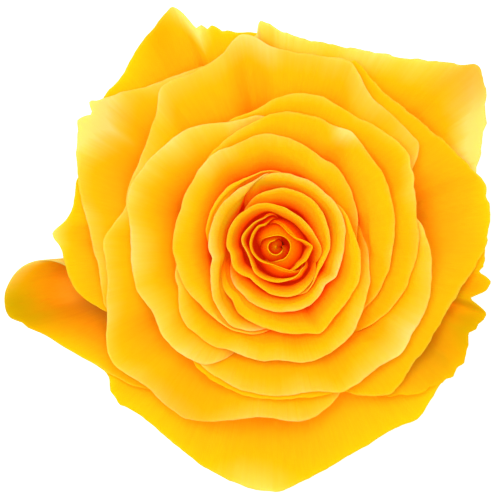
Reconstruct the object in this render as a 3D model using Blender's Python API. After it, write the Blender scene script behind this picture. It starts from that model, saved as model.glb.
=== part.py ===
"""A yellow garden rose in full bloom: a cut flower that rests on its short cut stem and its bent-back sepals.

Bearings are degrees round the flower's axis, counter-clockwise from +X as seen from above. Lengths in the
constants and tables are millimetres, and METRE turns them into metres once, where a mesh is made.
"""

import math

import bpy
import numpy as np

METRE = 0.001

# Where the flower's axis stands. It is right of the origin, because the bloom reaches further to the left.
AXIS_AT = (5.83, 0.55)

# The hip, the short stub of the cut stem under it and the dome that the petals sit on.
STEM_RADIUS = 2.6
STEM_HEIGHT = 3.0
HIP_RADIUS = 6.2
HIP_MIDDLE = 6.8
HIP_FOOT = (4.46, 4.2)
HIP_NECK = (6.01, 8.4)
DOME_CENTRE = 11.0
DOME_RADIUS = 7.0
DOME_TILTS = (100, 85, 70, 55, 40, 26, 13, 0)
HIP_SEGMENTS = 24

# Petals are thin blades that keep clear of each other. The softness rounds the bend where one meets another.
PETAL_THICKNESS = 0.6
PETAL_GAP = 0.42
PETAL_SOFTNESS = 0.6

# A blade widens from its claw between these two shares of its height, and its arch's two handles are shares of
# its span. The lip starts at the shoulder and narrows towards both ends of the margin.
CLAW_WIDTH = 4.4
CLAW_GAP = 0.3
CLAW_SHARE = 0.8
WIDENING = (-0.05, 0.8)
ARCH_HANDLES = (0.42, 0.36)
SHOULDER_SHARE = 0.66
LIP_NARROWING = 0.45
LEAST_TURN = 0.02
BLADE_ROWS = (0.0, 0.15, 0.29, 0.41, 0.51, 0.59, 0.66, 0.77, 0.88, 1.0)

# Height of a petal's margin above the table, by how far it reaches from the axis.
CROWN_REACH = (0.0, 3.0, 6.0, 10.0, 13.0, 16.0, 20.0, 25.0, 31.0, 36.0, 41.0, 46.0, 56.0)
CROWN_HEIGHT = (44.5, 45.0, 45.5, 46.5, 48.5, 49.5, 49.3, 48.2, 45.6, 42.2, 37.8, 33.0, 25.0)

# Sepals: five green blades bent back down, with their tips on the table.
SEPAL_COUNT = 5
SEPAL_FIRST_BEARING = 54.0
SEPAL_WIDTH = 7.0
SEPAL_THICKNESS = 0.8
SEPAL_ROWS = 9
SEPAL_COLUMNS = 4
SEPAL_PATH = ((6.38, 8.2), (12.0, 7.6), (20.5, 8.4), (26.0, 0.25))
SEPAL_ROOT_SHARE = 0.62
SEPAL_TAPER = 2.2
SEPAL_TIP = 0.45
SEPAL_CUP = 0.09

# The ledger of how far out the petals already laid reach, by bearing and by distance from the dome's centre.
LEDGER_BEARINGS = 180
LEDGER_STEP = 0.5
LEDGER_ROWS = 128
FACET_SAMPLES = 16
CLEARING_ROUNDS = 10
CLEARANCE = PETAL_THICKNESS + 0.32

PETAL_YELLOW = (1.0, 0.62, 0.02, 1.0)
HEART_ORANGE = (0.95, 0.42, 0.02, 1.0)
SEPAL_GREEN = (0.16, 0.32, 0.06, 1.0)
HIP_GREEN = (0.22, 0.38, 0.09, 1.0)

# A petal's flanks run in under its neighbours from both ends of its margin: turn on in degrees, share of the
# reach, drop in height and share of the lip's turn.
FLANK = ((7.0, 0.9, -2.6, 0.3), (14.0, 0.7, -7.0, 0.1))

# Petals from the heart outwards. Each has its claw's tilt from the axis, the heading of its blade at the
# shoulder (0 upright, 90 level), the width and turn of its rolled lip, its columns, and its margin. A point of
# the margin is a bearing and a reach, then a lift above the crown and a share of the turn where these differ.
PETALS = (
    ("petal_coil_core", 3, -2, 0.5, 24, 6, (
        (-85, 0.45, -1.3), (-30, 0.6, -0.9), (30, 0.65, -0.8), (85, 0.5, -1.2))),
    ("petal_coil_inner", 11, -10, 0.8, 30, 8, (
        (110, 1.2), (150, 1.6), (190, 1.7), (230, 1.6), (275, 1.5), (320, 1.3))),
    ("petal_coil_outer", 13, -25, 1.0, 34, 10, (
        (-80, 2.5), (-55, 2.7), (-25, 2.7), (5, 2.8), (30, 2.7), (60, 2.5), (90, 2.3), (125, 2.1))),
    ("petal_heart_inner", 19, 8, 1.2, 40, 12, (
        (118, 5.1), (132, 5.6), (150, 5.5), (180, 5.3), (210, 4.6), (240, 3.6), (270, 2.9),
        (305, 2.9), (340, 2.8))),
    ("petal_heart_middle", 26, 20, 1.4, 40, 14, (
        (112, 5.8), (125, 6.4), (145, 6.8), (165, 7.2), (190, 5.9), (202, 5.8), (215, 6.1), (230, 6.8),
        (260, 7.0), (295, 7.1), (308, 6.6), (320, 5.4))),
    ("petal_heart_flap", 28, 26, 1.4, 36, 12, (
        (323, 6.0), (335, 6.5), (350, 6.9), (360, 7.2, 0, 0.3), (366, 6.6), (375, 5.4), (383, 4.4),
        (396, 3.7), (420, 3.3))),
    ("petal_heart_outer", 34, 34, 1.8, 45, 14, (
        (65, 7.3), (85, 8.2), (105, 9.1), (130, 9.8), (160, 10.2), (180, 10.0), (190, 9.4), (205, 9.6),
        (217, 9.0), (230, 8.2), (245, 8.7), (270, 9.8), (290, 10.4), (300, 10.3))),
    ("petal_ring_low_right", 40, 50, 1.6, 36, 12, (
        (303, 9.9), (320, 9.8), (340, 9.9), (360, 10.8), (380, 11.1), (405, 11.7), (425, 12.0), (446, 11.9),
        (457, 11.5))),
    ("petal_ring_right", 46, 40, 2.4, 55, 14, (
        (236, 11.8, -2.0), (250, 12.5, -0.8), (265, 12.9), (290, 13.4), (310, 13.1), (322, 12.5, 0, 0.7),
        (335, 13.4, 0, 0.5), (345, 13.3), (360, 13.6), (375, 14.2), (395, 15.2), (418, 15.7))),
    ("petal_ring_low", 51, 52, 3.0, 45, 14, (
        (231, 14.0, -2.4), (241, 15.3, -1.0), (252, 16.0), (265, 16.6), (280, 17.7), (290, 18.4),
        (297, 19.3, 0, 0.5), (304, 18.7), (320, 17.9), (340, 17.7), (360, 16.5), (376, 15.6))),
    ("petal_ring_left", 56, 36, 2.4, 58, 16, (
        (103, 12.7), (120, 13.9), (155, 13.9), (180, 13.7), (190, 13.1, 0, 0.6), (197, 13.8),
        (205, 14.6), (215, 15.9), (225, 16.9, 0, 0.5), (234, 17.9), (241, 18.2))),
    ("petal_ring_top_left", 60, 44, 2.6, 48, 12, (
        (80, 13.1), (95, 13.9), (115, 14.8), (135, 15.2), (152, 15.0))),
    ("petal_fourth_top_left", 64, 56, 5.0, 46, 14, (
        (62, 19.8), (80, 21.6), (97, 22.8), (110, 22.3), (123, 22.4, 0, 0.6), (140, 21.6), (160, 20.8),
        (185, 20.6), (205, 20.0), (220, 19.0), (238, 18.3))),
    ("petal_fourth_bottom", 67, 56, 4.4, 44, 14, (
        (203, 21.4), (215, 23.4), (228, 23.8), (240, 23.4), (247, 22.6), (255, 22.9), (270, 22.7),
        (285, 23.9), (300, 23.6), (315, 23.0), (331, 20.6))),
    ("petal_fourth_top", 67, 60, 7.0, 42, 14, (
        (-4, 21.8), (20, 24.6), (35, 25.4), (48, 26.6), (57, 27.5, 0, 0.4), (66, 27.0), (85, 27.2),
        (100, 25.6), (118, 23.2))),
    ("petal_third_left", 72, 62, 8.0, 42, 14, (
        (106, 26.0), (125, 29.2), (140, 30.5), (158, 31.6), (168, 30.4), (178, 29.2), (195, 29.2),
        (208, 28.2), (220, 28.9, 0, 0.5), (238, 27.6))),
    ("petal_third_top_right", 72, 62, 5.4, 40, 14, (
        (-16, 27.2), (0, 28.4), (15, 29.8), (27, 30.6), (36, 31.6), (45, 31.8), (60, 30.6),
        (78, 31.4), (90, 29.8), (103, 26.2))),
    ("petal_third_low_right", 75, 64, 7.0, 40, 12, (
        (301, 31.0), (314, 32.0), (321, 33.0, 0, 0.5), (327, 32.2), (336, 32.5), (350, 31.5), (361, 30.4))),
    ("petal_third_bottom", 75, 64, 5.5, 38, 12, (
        (243, 29.4), (262, 30.3), (280, 30.6), (293, 31.4), (303, 30.4))),
    ("petal_second_bottom_left", 78, 66, 9.0, 40, 16, (
        (166, 31.0), (179, 34.6, 0, 0.5), (188, 34.4), (202, 36.6), (215, 40.3, 0, 0.3),
        (227, 38.2), (241, 39.0), (252, 36.6), (266, 34.2), (278, 35.1), (286, 34.2), (295, 33.7, 0, 0.5),
        (304, 31.0))),
    ("petal_second_top", 78, 66, 9.0, 40, 16, (
        (33, 35.6), (50, 36.2), (60, 37.8), (67, 39.8, 0, 0.3), (78, 39.2), (90, 39.9),
        (99, 43.2, 0, 0.3), (106, 40.2), (116, 38.8), (125, 39.6, 0, 0.3), (131, 36.6), (142, 33.2),
        (157, 31.4))),
    ("petal_second_right", 81, 68, 10.0, 38, 16, (
        (309, 37.4, 0, 0.4), (320, 36.1), (333, 36.2), (345, 37.5), (355, 40.3), (361, 42.2),
        (370, 43.8), (378, 43.5), (390, 40.0), (402, 38.2), (418, 37.4))),
    ("petal_second_top_left", 83, 68, 10.0, 38, 16, (
        (118, 39.2), (129, 41.4), (136, 44.4), (142, 47.2, 0, 0.2), (145, 45.6),
        (148, 47.0, 0, 0.2), (154, 44.4), (162, 41.8), (172, 38.4), (184, 36.2), (195, 34.8))),
    ("petal_outer_left_corner", 86, 72, 7.0, 34, 10, (
        (165, 40.3), (174, 43.6), (177, 44.5, 0, 0.3), (181, 43.1), (188, 42.2))),
    ("petal_outer_top_right", 86, 70, 11.0, 36, 16, (
        (19, 42.0), (26, 46.6), (31, 49.4), (37, 52.8), (42, 54.4, 0, 0.2), (50, 48.4), (60, 44.2),
        (70, 42.4), (85, 42.8), (93, 45.0, 0, 0.3), (99, 41.0))),
    ("petal_outer_top_left", 87, 72, 9.0, 32, 14, (
        (101, 41.8), (103, 45.0), (107, 45.5), (110.2, 46.4), (110.9, 49.2), (113.5, 52.7, 0, 0.3),
        (119, 50.4), (126, 48.8), (132, 46.6), (139, 44.4))),
    ("petal_outer_left_tongue", 88, 76, 9.0, 26, 12, (
        (186, 41.5, -3), (183.2, 46.6, -2), (184.4, 51.2, -1.5), (188.6, 54.9, -1), (193, 56.2, 0, 0.4),
        (201, 48.6, -1), (212, 42.2, -2), (220, 40.6, -3))),
    ("petal_outer_low_right", 87, 72, 8.0, 32, 14, (
        (318, 41.8), (328, 43.6), (336, 42.6), (342, 44.6, 0, 0.4), (345, 41.4),
        (350, 44.4, 0, 0.4), (355, 40.6))),
    ("petal_outer_bottom", 88, 72, 12.0, 36, 16, (
        (216, 40.8, -1), (222, 44.4, -1, 0.3), (232, 43.5), (245, 44.8), (258, 47.6),
        (269, 49.4, 0, 0.2), (277, 46.6), (288, 43.6), (302, 43.2), (310, 44.5, 0, 0.3), (319, 42.2))),
)


def smooth_step(low, high, value):
    """0 below low, 1 above high, and an even S between them."""
    share = np.clip((value - low) / (high - low), 0.0, 1.0)
    return share * share * (3.0 - 2.0 * share)


def smooth_curve(knots, values, at):
    """A cubic through the values whose slopes are limited, so that it never swings past them."""
    knots = np.asarray(knots, float)
    values = np.asarray(values, float)
    steps = np.diff(knots)
    slopes = np.diff(values) / steps
    tangents = np.concatenate([slopes[:1], 0.5 * (slopes[:-1] + slopes[1:]), slopes[-1:]])
    lower = np.concatenate([slopes[:1], slopes])
    upper = np.concatenate([slopes, slopes[-1:]])
    limit = 3.0 * np.minimum(np.abs(lower), np.abs(upper))
    tangents = np.where(lower * upper <= 0, 0.0, np.clip(tangents, -limit, limit))
    piece = np.clip(np.searchsorted(knots, at, side="right") - 1, 0, len(steps) - 1)
    share = np.clip((at - knots[piece]) / steps[piece], 0.0, 1.0)
    square, cube = share**2, share**3
    return (
        values[piece] * (2 * cube - 3 * square + 1)
        + steps[piece] * tangents[piece] * (cube - 2 * square + share)
        + values[piece + 1] * (3 * square - 2 * cube)
        + steps[piece] * tangents[piece + 1] * (cube - square)
    )


def with_flanks(rows):
    """The margin's rows with two more at each end, where the flanks run in under the neighbours."""
    def row_past(end, side):
        return [(end[0] + side * on, end[1] * share, end[2] + drop, turn) for on, share, drop, turn in FLANK]

    return np.vstack([row_past(rows[0], -1)[::-1], rows, row_past(rows[-1], 1)])


def margin_of(rows, across):
    """Bearing (radians), reach, height and share of turn along a petal's margin, by its length in plan."""
    full = with_flanks(np.array([tuple(row) + (0.0, 1.0)[len(row) - 2 :] for row in rows], float))
    bearing, reach = np.radians(full[:, 0]), full[:, 1]
    plan = np.stack([reach * np.cos(bearing), reach * np.sin(bearing)], axis=1)
    along = np.concatenate([[0.0], np.cumsum(np.linalg.norm(np.diff(plan, axis=0), axis=1))])
    along /= along[-1]
    at = 0.5 * (across + 1.0)
    height = np.interp(reach, CROWN_REACH, CROWN_HEIGHT) + full[:, 2]
    return tuple(smooth_curve(along, column, at) for column in (bearing, reach, height, full[:, 3]))


def blade(petal, across, along):
    """Bearing, distance and tilt from the dome's centre of a free petal, before its neighbours push it out.

    across runs from -1 to 1 over the petal, and along from 0 at the claw to 1 at the margin. Up to the
    shoulder a blade is a cubic arch from the dome, and past it the lip turns outwards on a round arc.
    """
    _, claw_tilt, heading, lip, turn, _, rows = petal
    bearing, reach, height, share = margin_of(rows, across)
    heading = math.radians(heading)
    turn = np.maximum(math.radians(turn) * share, LEAST_TURN)
    lip = lip * (1.0 - LIP_NARROWING * across**8)
    rolled = np.clip((along - SHOULDER_SHARE) / (1.0 - SHOULDER_SHARE), 0.0, 1.0)
    radius = lip / turn
    lip_reach = radius * (math.cos(heading) - np.cos(heading + turn))
    end = np.stack([reach - lip_reach, height])
    start_tilt = math.radians(claw_tilt)
    start = np.array([math.sin(start_tilt), math.cos(start_tilt)])
    start = start[:, None, None]
    first = (DOME_RADIUS + CLAW_GAP) * start + np.array([0.0, DOME_CENTRE])[:, None, None]
    span = np.hypot(*(end - first))
    second = first + ARCH_HANDLES[0] * span * start
    facing = np.array([math.sin(heading), math.cos(heading)])[:, None, None]
    third = end - ARCH_HANDLES[1] * span * facing
    t = np.clip(along / SHOULDER_SHARE, 0.0, 1.0)
    path = (1 - t) ** 3 * first + 3 * t * (1 - t) ** 2 * second + 3 * t**2 * (1 - t) * third + t**3 * end
    path = path + np.stack([
        radius * (math.cos(heading) - np.cos(heading + turn * rolled)),
        radius * (np.sin(heading + turn * rolled) - math.sin(heading)),
    ])
    distance = np.hypot(path[0], path[1] - DOME_CENTRE)
    tilt = np.arctan2(path[0], path[1] - DOME_CENTRE)
    middle = math.radians(0.5 * (rows[0][0] + rows[-1][0]))
    half = math.radians(0.5 * (rows[-1][0] - rows[0][0]) + FLANK[-1][0])
    claw_half = min(0.5 * CLAW_WIDTH / first[0, 0, 0], CLAW_SHARE * half)
    spread = smooth_step(*WIDENING, t)
    bearing = middle + (bearing - middle) * spread + across * claw_half * (1.0 - spread)
    return bearing, distance, tilt


def ledger_weights(position):
    """The three nearest cells of a position and their smooth weights."""
    cell = np.floor(position + 0.5).astype(int)
    off = position - cell
    return cell, (0.5 * (0.5 - off) ** 2, 0.75 - off**2, 0.5 * (0.5 + off) ** 2)


def read_ledger(ledger, bearing, distance):
    column, column_weights = ledger_weights(bearing / (2 * math.pi) * LEDGER_BEARINGS)
    row, row_weights = ledger_weights(distance / LEDGER_STEP)
    found = 0.0
    for i, column_weight in enumerate(column_weights):
        for j, row_weight in enumerate(row_weights):
            cells = ledger[(column + i - 1) % LEDGER_BEARINGS, np.clip(row + j - 1, 0, LEDGER_ROWS - 1)]
            found = found + column_weight * row_weight * cells
    return found


def laid_blade(petal, across, along, ledger):
    """The petal where it lies: its own tilt, or the tilt of what is already laid inside it plus the gap."""
    bearing, distance, tilt = blade(petal, across, along)
    pushed = read_ledger(ledger, bearing, distance) + (PETAL_THICKNESS + PETAL_GAP) / distance
    softness = PETAL_SOFTNESS / distance
    tilt = 0.5 * (tilt + pushed + np.sqrt((tilt - pushed) ** 2 + softness**2))
    return bearing, distance, tilt


def spread_cells(cells, combine, axis):
    """Each cell combined with its two neighbours, round the bearings (axis 0) or by distance (axis 1)."""
    if axis:
        near = np.concatenate([cells[:, :1], cells, cells[:, -1:]], axis=1)
        return combine(near[:, :-2], near[:, 1:-1], near[:, 2:])
    near = np.concatenate([cells[-1:], cells, cells[:1]])
    return combine(near[:-2], near[1:-1], near[2:])


def settled(raw):
    """The ledger widened by a petal's thickness and evened, so that the next petal lies on it uncreased."""
    for combine, axes in ((widest, (0, 0, 1, 1)), (evened, (0, 1, 1))):
        for axis in axes:
            raw = spread_cells(raw, combine, axis)
    return raw


def widest(before, here, after):
    return np.maximum(np.maximum(before, here), after)


def evened(before, here, after):
    return 0.25 * before + 0.5 * here + 0.25 * after


def facet_weights():
    """The shares of a cell's four corners at points spread over its two flat triangles, a row for each."""
    share = (np.arange(FACET_SAMPLES) + 0.5) / FACET_SAMPLES
    x, y = (grid.ravel() for grid in np.meshgrid(share, share))
    corners = (1 - np.maximum(x, y), np.maximum(x - y, 0), np.minimum(x, y), np.maximum(y - x, 0))
    return np.stack(corners, axis=1)


def cell_corners(grid):
    """The four corners of every cell of a grid, in the order of facet_weights."""
    return np.stack([grid[:-1, :-1], grid[:-1, 1:], grid[1:, 1:], grid[1:, :-1]])


def facet_points(points):
    """Points spread over a grid's flat facets, as (samples, rows, columns, 3)."""
    return np.einsum("sk,krcx->srcx", facet_weights(), cell_corners(points))


def polar_of(points):
    """Bearing, distance from the dome's centre and tilt of points."""
    height = points[..., 2] - DOME_CENTRE
    reach = np.hypot(points[..., 0], points[..., 1])
    return np.arctan2(points[..., 1], points[..., 0]), np.hypot(reach, height), np.arctan2(reach, height)


def cells_of(bearing, distance):
    column = np.round(bearing / (2 * math.pi) * LEDGER_BEARINGS).astype(int) % LEDGER_BEARINGS
    return column, np.clip(np.round(distance / LEDGER_STEP).astype(int), 0, LEDGER_ROWS - 1)


def enter_in_ledger(raw, points):
    """Marks how far out the flat facets of a petal reach."""
    bearing, distance, tilt = polar_of(facet_points(points))
    np.maximum.at(raw, cells_of(bearing, distance), tilt)


def cleared(bearing, distance, tilt, raw):
    """Pushes a petal's grid out until its flat facets clear all that is laid inside it.

    Where a facet lacks room, its corners move by their own shares of it, which is the least that gives it.
    """
    reached = spread_cells(spread_cells(raw, widest, 1), widest, 0)
    weights = facet_weights()
    shares = weights / (weights**2).sum(axis=1, keepdims=True)
    for _ in range(CLEARING_ROUNDS):
        fine = polar_of(facet_points(points_of(bearing, distance, tilt)))
        lacking = np.maximum(reached[cells_of(*fine[:2])] + CLEARANCE / fine[1] - fine[2], 0.0)
        corner = (lacking[..., None] * shares[:, None, None, :]).max(axis=0)
        push = np.zeros_like(tilt)
        for number, (down, right) in enumerate(((0, 0), (0, 1), (1, 1), (1, 0))):
            part = push[down : down + corner.shape[0], right : right + corner.shape[1]]
            np.maximum(part, corner[..., number], out=part)
        tilt = tilt + push
    return bearing, distance, tilt


def points_of(bearing, distance, tilt):
    reach = distance * np.sin(tilt)
    return np.stack([
        reach * np.cos(bearing),
        reach * np.sin(bearing),
        DOME_CENTRE + distance * np.cos(tilt),
    ], axis=-1)


def grid_normals(points):
    """Unit normals of a grid of points, from the middle differences along both its ways."""
    normals = np.cross(np.gradient(points, axis=1), np.gradient(points, axis=0))
    return normals / np.linalg.norm(normals, axis=-1, keepdims=True)


def thick_sheet(points, thickness):
    """Vertices and triangles of a closed blade: the grid moved half its thickness each way, and a rim."""
    rows, columns = points.shape[:2]
    offset = 0.5 * thickness * grid_normals(points)
    vertices = np.concatenate([(points + offset).reshape(-1, 3), (points - offset).reshape(-1, 3)])
    index = np.arange(rows * columns).reshape(rows, columns)
    a, b = index[:-1, :-1].ravel(), index[:-1, 1:].ravel()
    c, d = index[1:, 1:].ravel(), index[1:, :-1].ravel()
    front = np.concatenate([np.stack([a, b, c], 1), np.stack([a, c, d], 1)])
    rim = np.concatenate([index[0, :-1], index[:-1, -1], index[-1, :0:-1], index[:0:-1, 0]])
    following = np.roll(rim, -1)
    below = rows * columns
    edge = np.concatenate([
        np.stack([rim, rim + below, following + below], 1),
        np.stack([rim, following + below, following], 1),
    ])
    return vertices, np.concatenate([front, front[:, ::-1] + below, edge])


def volume_of(vertices, triangles):
    a, b, c = (vertices[triangles[:, k]] for k in range(3))
    return float(np.einsum("ij,ij->i", a, np.cross(b, c)).sum() / 6.0)


def add_solid(name, vertices, triangles, material):
    if volume_of(vertices, triangles) < 0:
        triangles = triangles[:, ::-1]
    mesh = bpy.data.meshes.new(name)
    placed = (vertices + np.array([*AXIS_AT, 0.0])) * METRE
    mesh.from_pydata(placed.tolist(), [], triangles.tolist())
    mesh.validate()
    mesh.materials.append(material)
    obj = bpy.data.objects.new(name, mesh)
    bpy.context.scene.collection.objects.link(obj)
    return obj


def add_material(name, colour, roughness):
    material = bpy.data.materials.new(name)
    material.use_nodes = True
    shader = material.node_tree.nodes["Principled BSDF"]
    shader.inputs["Base Color"].default_value = colour
    shader.inputs["Roughness"].default_value = roughness
    material.diffuse_color = colour
    return material


def lathe(name, profile, segments, material):
    """A solid turned round the axis from a profile of (radius, height) whose two ends are on the axis."""
    turn = np.arange(segments) * 2 * math.pi / segments
    ring_radius = np.array([r for r, _ in profile[1:-1]])
    ring_height = np.array([z for _, z in profile[1:-1]])
    rings = np.stack([
        np.outer(ring_radius, np.cos(turn)),
        np.outer(ring_radius, np.sin(turn)),
        np.repeat(ring_height[:, None], segments, axis=1),
    ], axis=-1)
    count = len(ring_radius)
    vertices = np.concatenate([rings.reshape(-1, 3), [[0, 0, profile[0][1]]], [[0, 0, profile[-1][1]]]])
    index = np.arange(count * segments).reshape(count, segments)
    following = np.roll(index, -1, axis=1)
    sides = np.concatenate([
        np.stack([index[:-1], following[:-1], following[1:]], -1).reshape(-1, 3),
        np.stack([index[:-1], following[1:], index[1:]], -1).reshape(-1, 3),
    ])
    bottom = np.stack([np.full(segments, count * segments), following[0], index[0]], -1)
    top = np.stack([np.full(segments, count * segments + 1), index[-1], following[-1]], -1)
    return add_solid(name, vertices, np.concatenate([sides, bottom, top]), material)


def hip_profile():
    """The stem's flat cut, the stem, the round hip, its neck and the dome above it."""
    tilts = np.radians(DOME_TILTS)
    dome = np.stack([DOME_RADIUS * np.sin(tilts), DOME_CENTRE + DOME_RADIUS * np.cos(tilts)], axis=1)
    stem = [(0.0, 0.0), (STEM_RADIUS, 0.0), (STEM_RADIUS, STEM_HEIGHT)]
    return stem + [HIP_FOOT, (HIP_RADIUS, HIP_MIDDLE), HIP_NECK] + dome.tolist()


def sepal_points(bearing, columns, rows):
    """A blade along a cubic arch, broadest near the hip, cupped across and drawn out to a narrow tip."""
    across, t = np.meshgrid(np.linspace(-1, 1, columns + 1), np.linspace(0, 1, rows + 1))
    first, second, third, last = (np.array(point)[:, None, None] for point in SEPAL_PATH)
    path = (1 - t) ** 3 * first + 3 * t * (1 - t) ** 2 * second + 3 * t**2 * (1 - t) * third + t**3 * last
    belly = SEPAL_ROOT_SHARE + (1 - SEPAL_ROOT_SHARE) * np.sin(math.pi * np.clip(1.5 * t, 0, 1))
    half = 0.5 * SEPAL_WIDTH * belly * (1 - t**SEPAL_TAPER) + SEPAL_TIP
    side = across * half
    reach = path[0]
    height = path[1] + SEPAL_CUP * side**2 * np.sqrt(1 - t) * half / (0.5 * SEPAL_WIDTH)
    turn = math.radians(bearing)
    return np.stack([
        reach * math.cos(turn) - side * math.sin(turn),
        reach * math.sin(turn) + side * math.cos(turn),
        height,
    ], axis=-1)


def build():
    for obj in list(bpy.data.objects):
        bpy.data.objects.remove(obj)
    petal_material = add_material("petal_yellow", PETAL_YELLOW, 0.55)
    heart_material = add_material("petal_heart_orange", HEART_ORANGE, 0.55)
    sepal_material = add_material("sepal_green", SEPAL_GREEN, 0.6)
    hip_material = add_material("hip_green", HIP_GREEN, 0.5)

    lathe("hip_and_stem", hip_profile(), HIP_SEGMENTS, hip_material)
    for count in range(SEPAL_COUNT):
        points = sepal_points(SEPAL_FIRST_BEARING + count * 360 / SEPAL_COUNT, SEPAL_COLUMNS, SEPAL_ROWS)
        vertices, triangles = thick_sheet(points, SEPAL_THICKNESS)
        add_solid(f"sepal_{count + 1}", vertices, triangles, sepal_material)

    raw = np.zeros((LEDGER_BEARINGS, LEDGER_ROWS))
    for petal in PETALS:
        name, columns = petal[0], petal[5]
        ledger = settled(raw)
        across, rows = np.meshgrid(np.linspace(-1, 1, columns + 1), BLADE_ROWS)
        points = points_of(*cleared(*laid_blade(petal, across, rows, ledger), raw))
        vertices, triangles = thick_sheet(points, PETAL_THICKNESS)
        in_heart = "heart" in name or "coil" in name
        add_solid(name, vertices, triangles, heart_material if in_heart else petal_material)
        enter_in_ledger(raw, points)


build()
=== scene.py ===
# %% [markdown]
# # A yellow garden rose
#
# A rose flower is a spiral of soft blades. Each petal stands on a narrow claw, swells into a bowl and rolls
# its margin outwards. The youngest ones are wound into a bud, and the oldest lie almost flat. The solids
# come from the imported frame. This script gives every petal, sepal and the hip a fine skin in the same
# place, and lights the flower softly from above.
#
# Lengths are millimetres and bearings are degrees round the flower's axis, counter-clockwise from +X as seen
# from above. METRE turns lengths into Blender's metres where a mesh, a lamp or the camera is made.

# %% Load the frame
import math

import bpy
import numpy as np
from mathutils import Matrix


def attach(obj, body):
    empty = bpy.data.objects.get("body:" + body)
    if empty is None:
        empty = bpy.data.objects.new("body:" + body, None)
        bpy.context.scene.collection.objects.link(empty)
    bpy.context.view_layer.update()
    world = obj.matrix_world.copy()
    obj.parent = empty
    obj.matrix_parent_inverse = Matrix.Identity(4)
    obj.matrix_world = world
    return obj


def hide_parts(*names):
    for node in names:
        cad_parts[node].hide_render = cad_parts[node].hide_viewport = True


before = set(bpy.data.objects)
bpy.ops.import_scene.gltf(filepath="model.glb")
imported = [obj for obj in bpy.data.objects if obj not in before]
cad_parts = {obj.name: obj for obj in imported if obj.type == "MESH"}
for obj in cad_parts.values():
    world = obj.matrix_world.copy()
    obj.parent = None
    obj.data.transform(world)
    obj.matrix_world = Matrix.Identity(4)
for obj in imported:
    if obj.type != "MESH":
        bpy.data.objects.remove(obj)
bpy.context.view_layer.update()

METRE = 0.001
print("nodes in the frame:", len(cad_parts))

# %% [markdown]
# ## What a petal is made from
#
# A petal could be sculpted, simulated as cloth or drawn as a surface of two parameters. Sculpting leaves no
# numbers to change and cloth won't repeat a given bloom, so a petal is a formula here: a margin read from
# its outline as seen from above, a cubic arch from the hip up to it, and a round arc for the rolled lip.
# The same few driving sizes made the solids, so the fine skins land on them.

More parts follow.
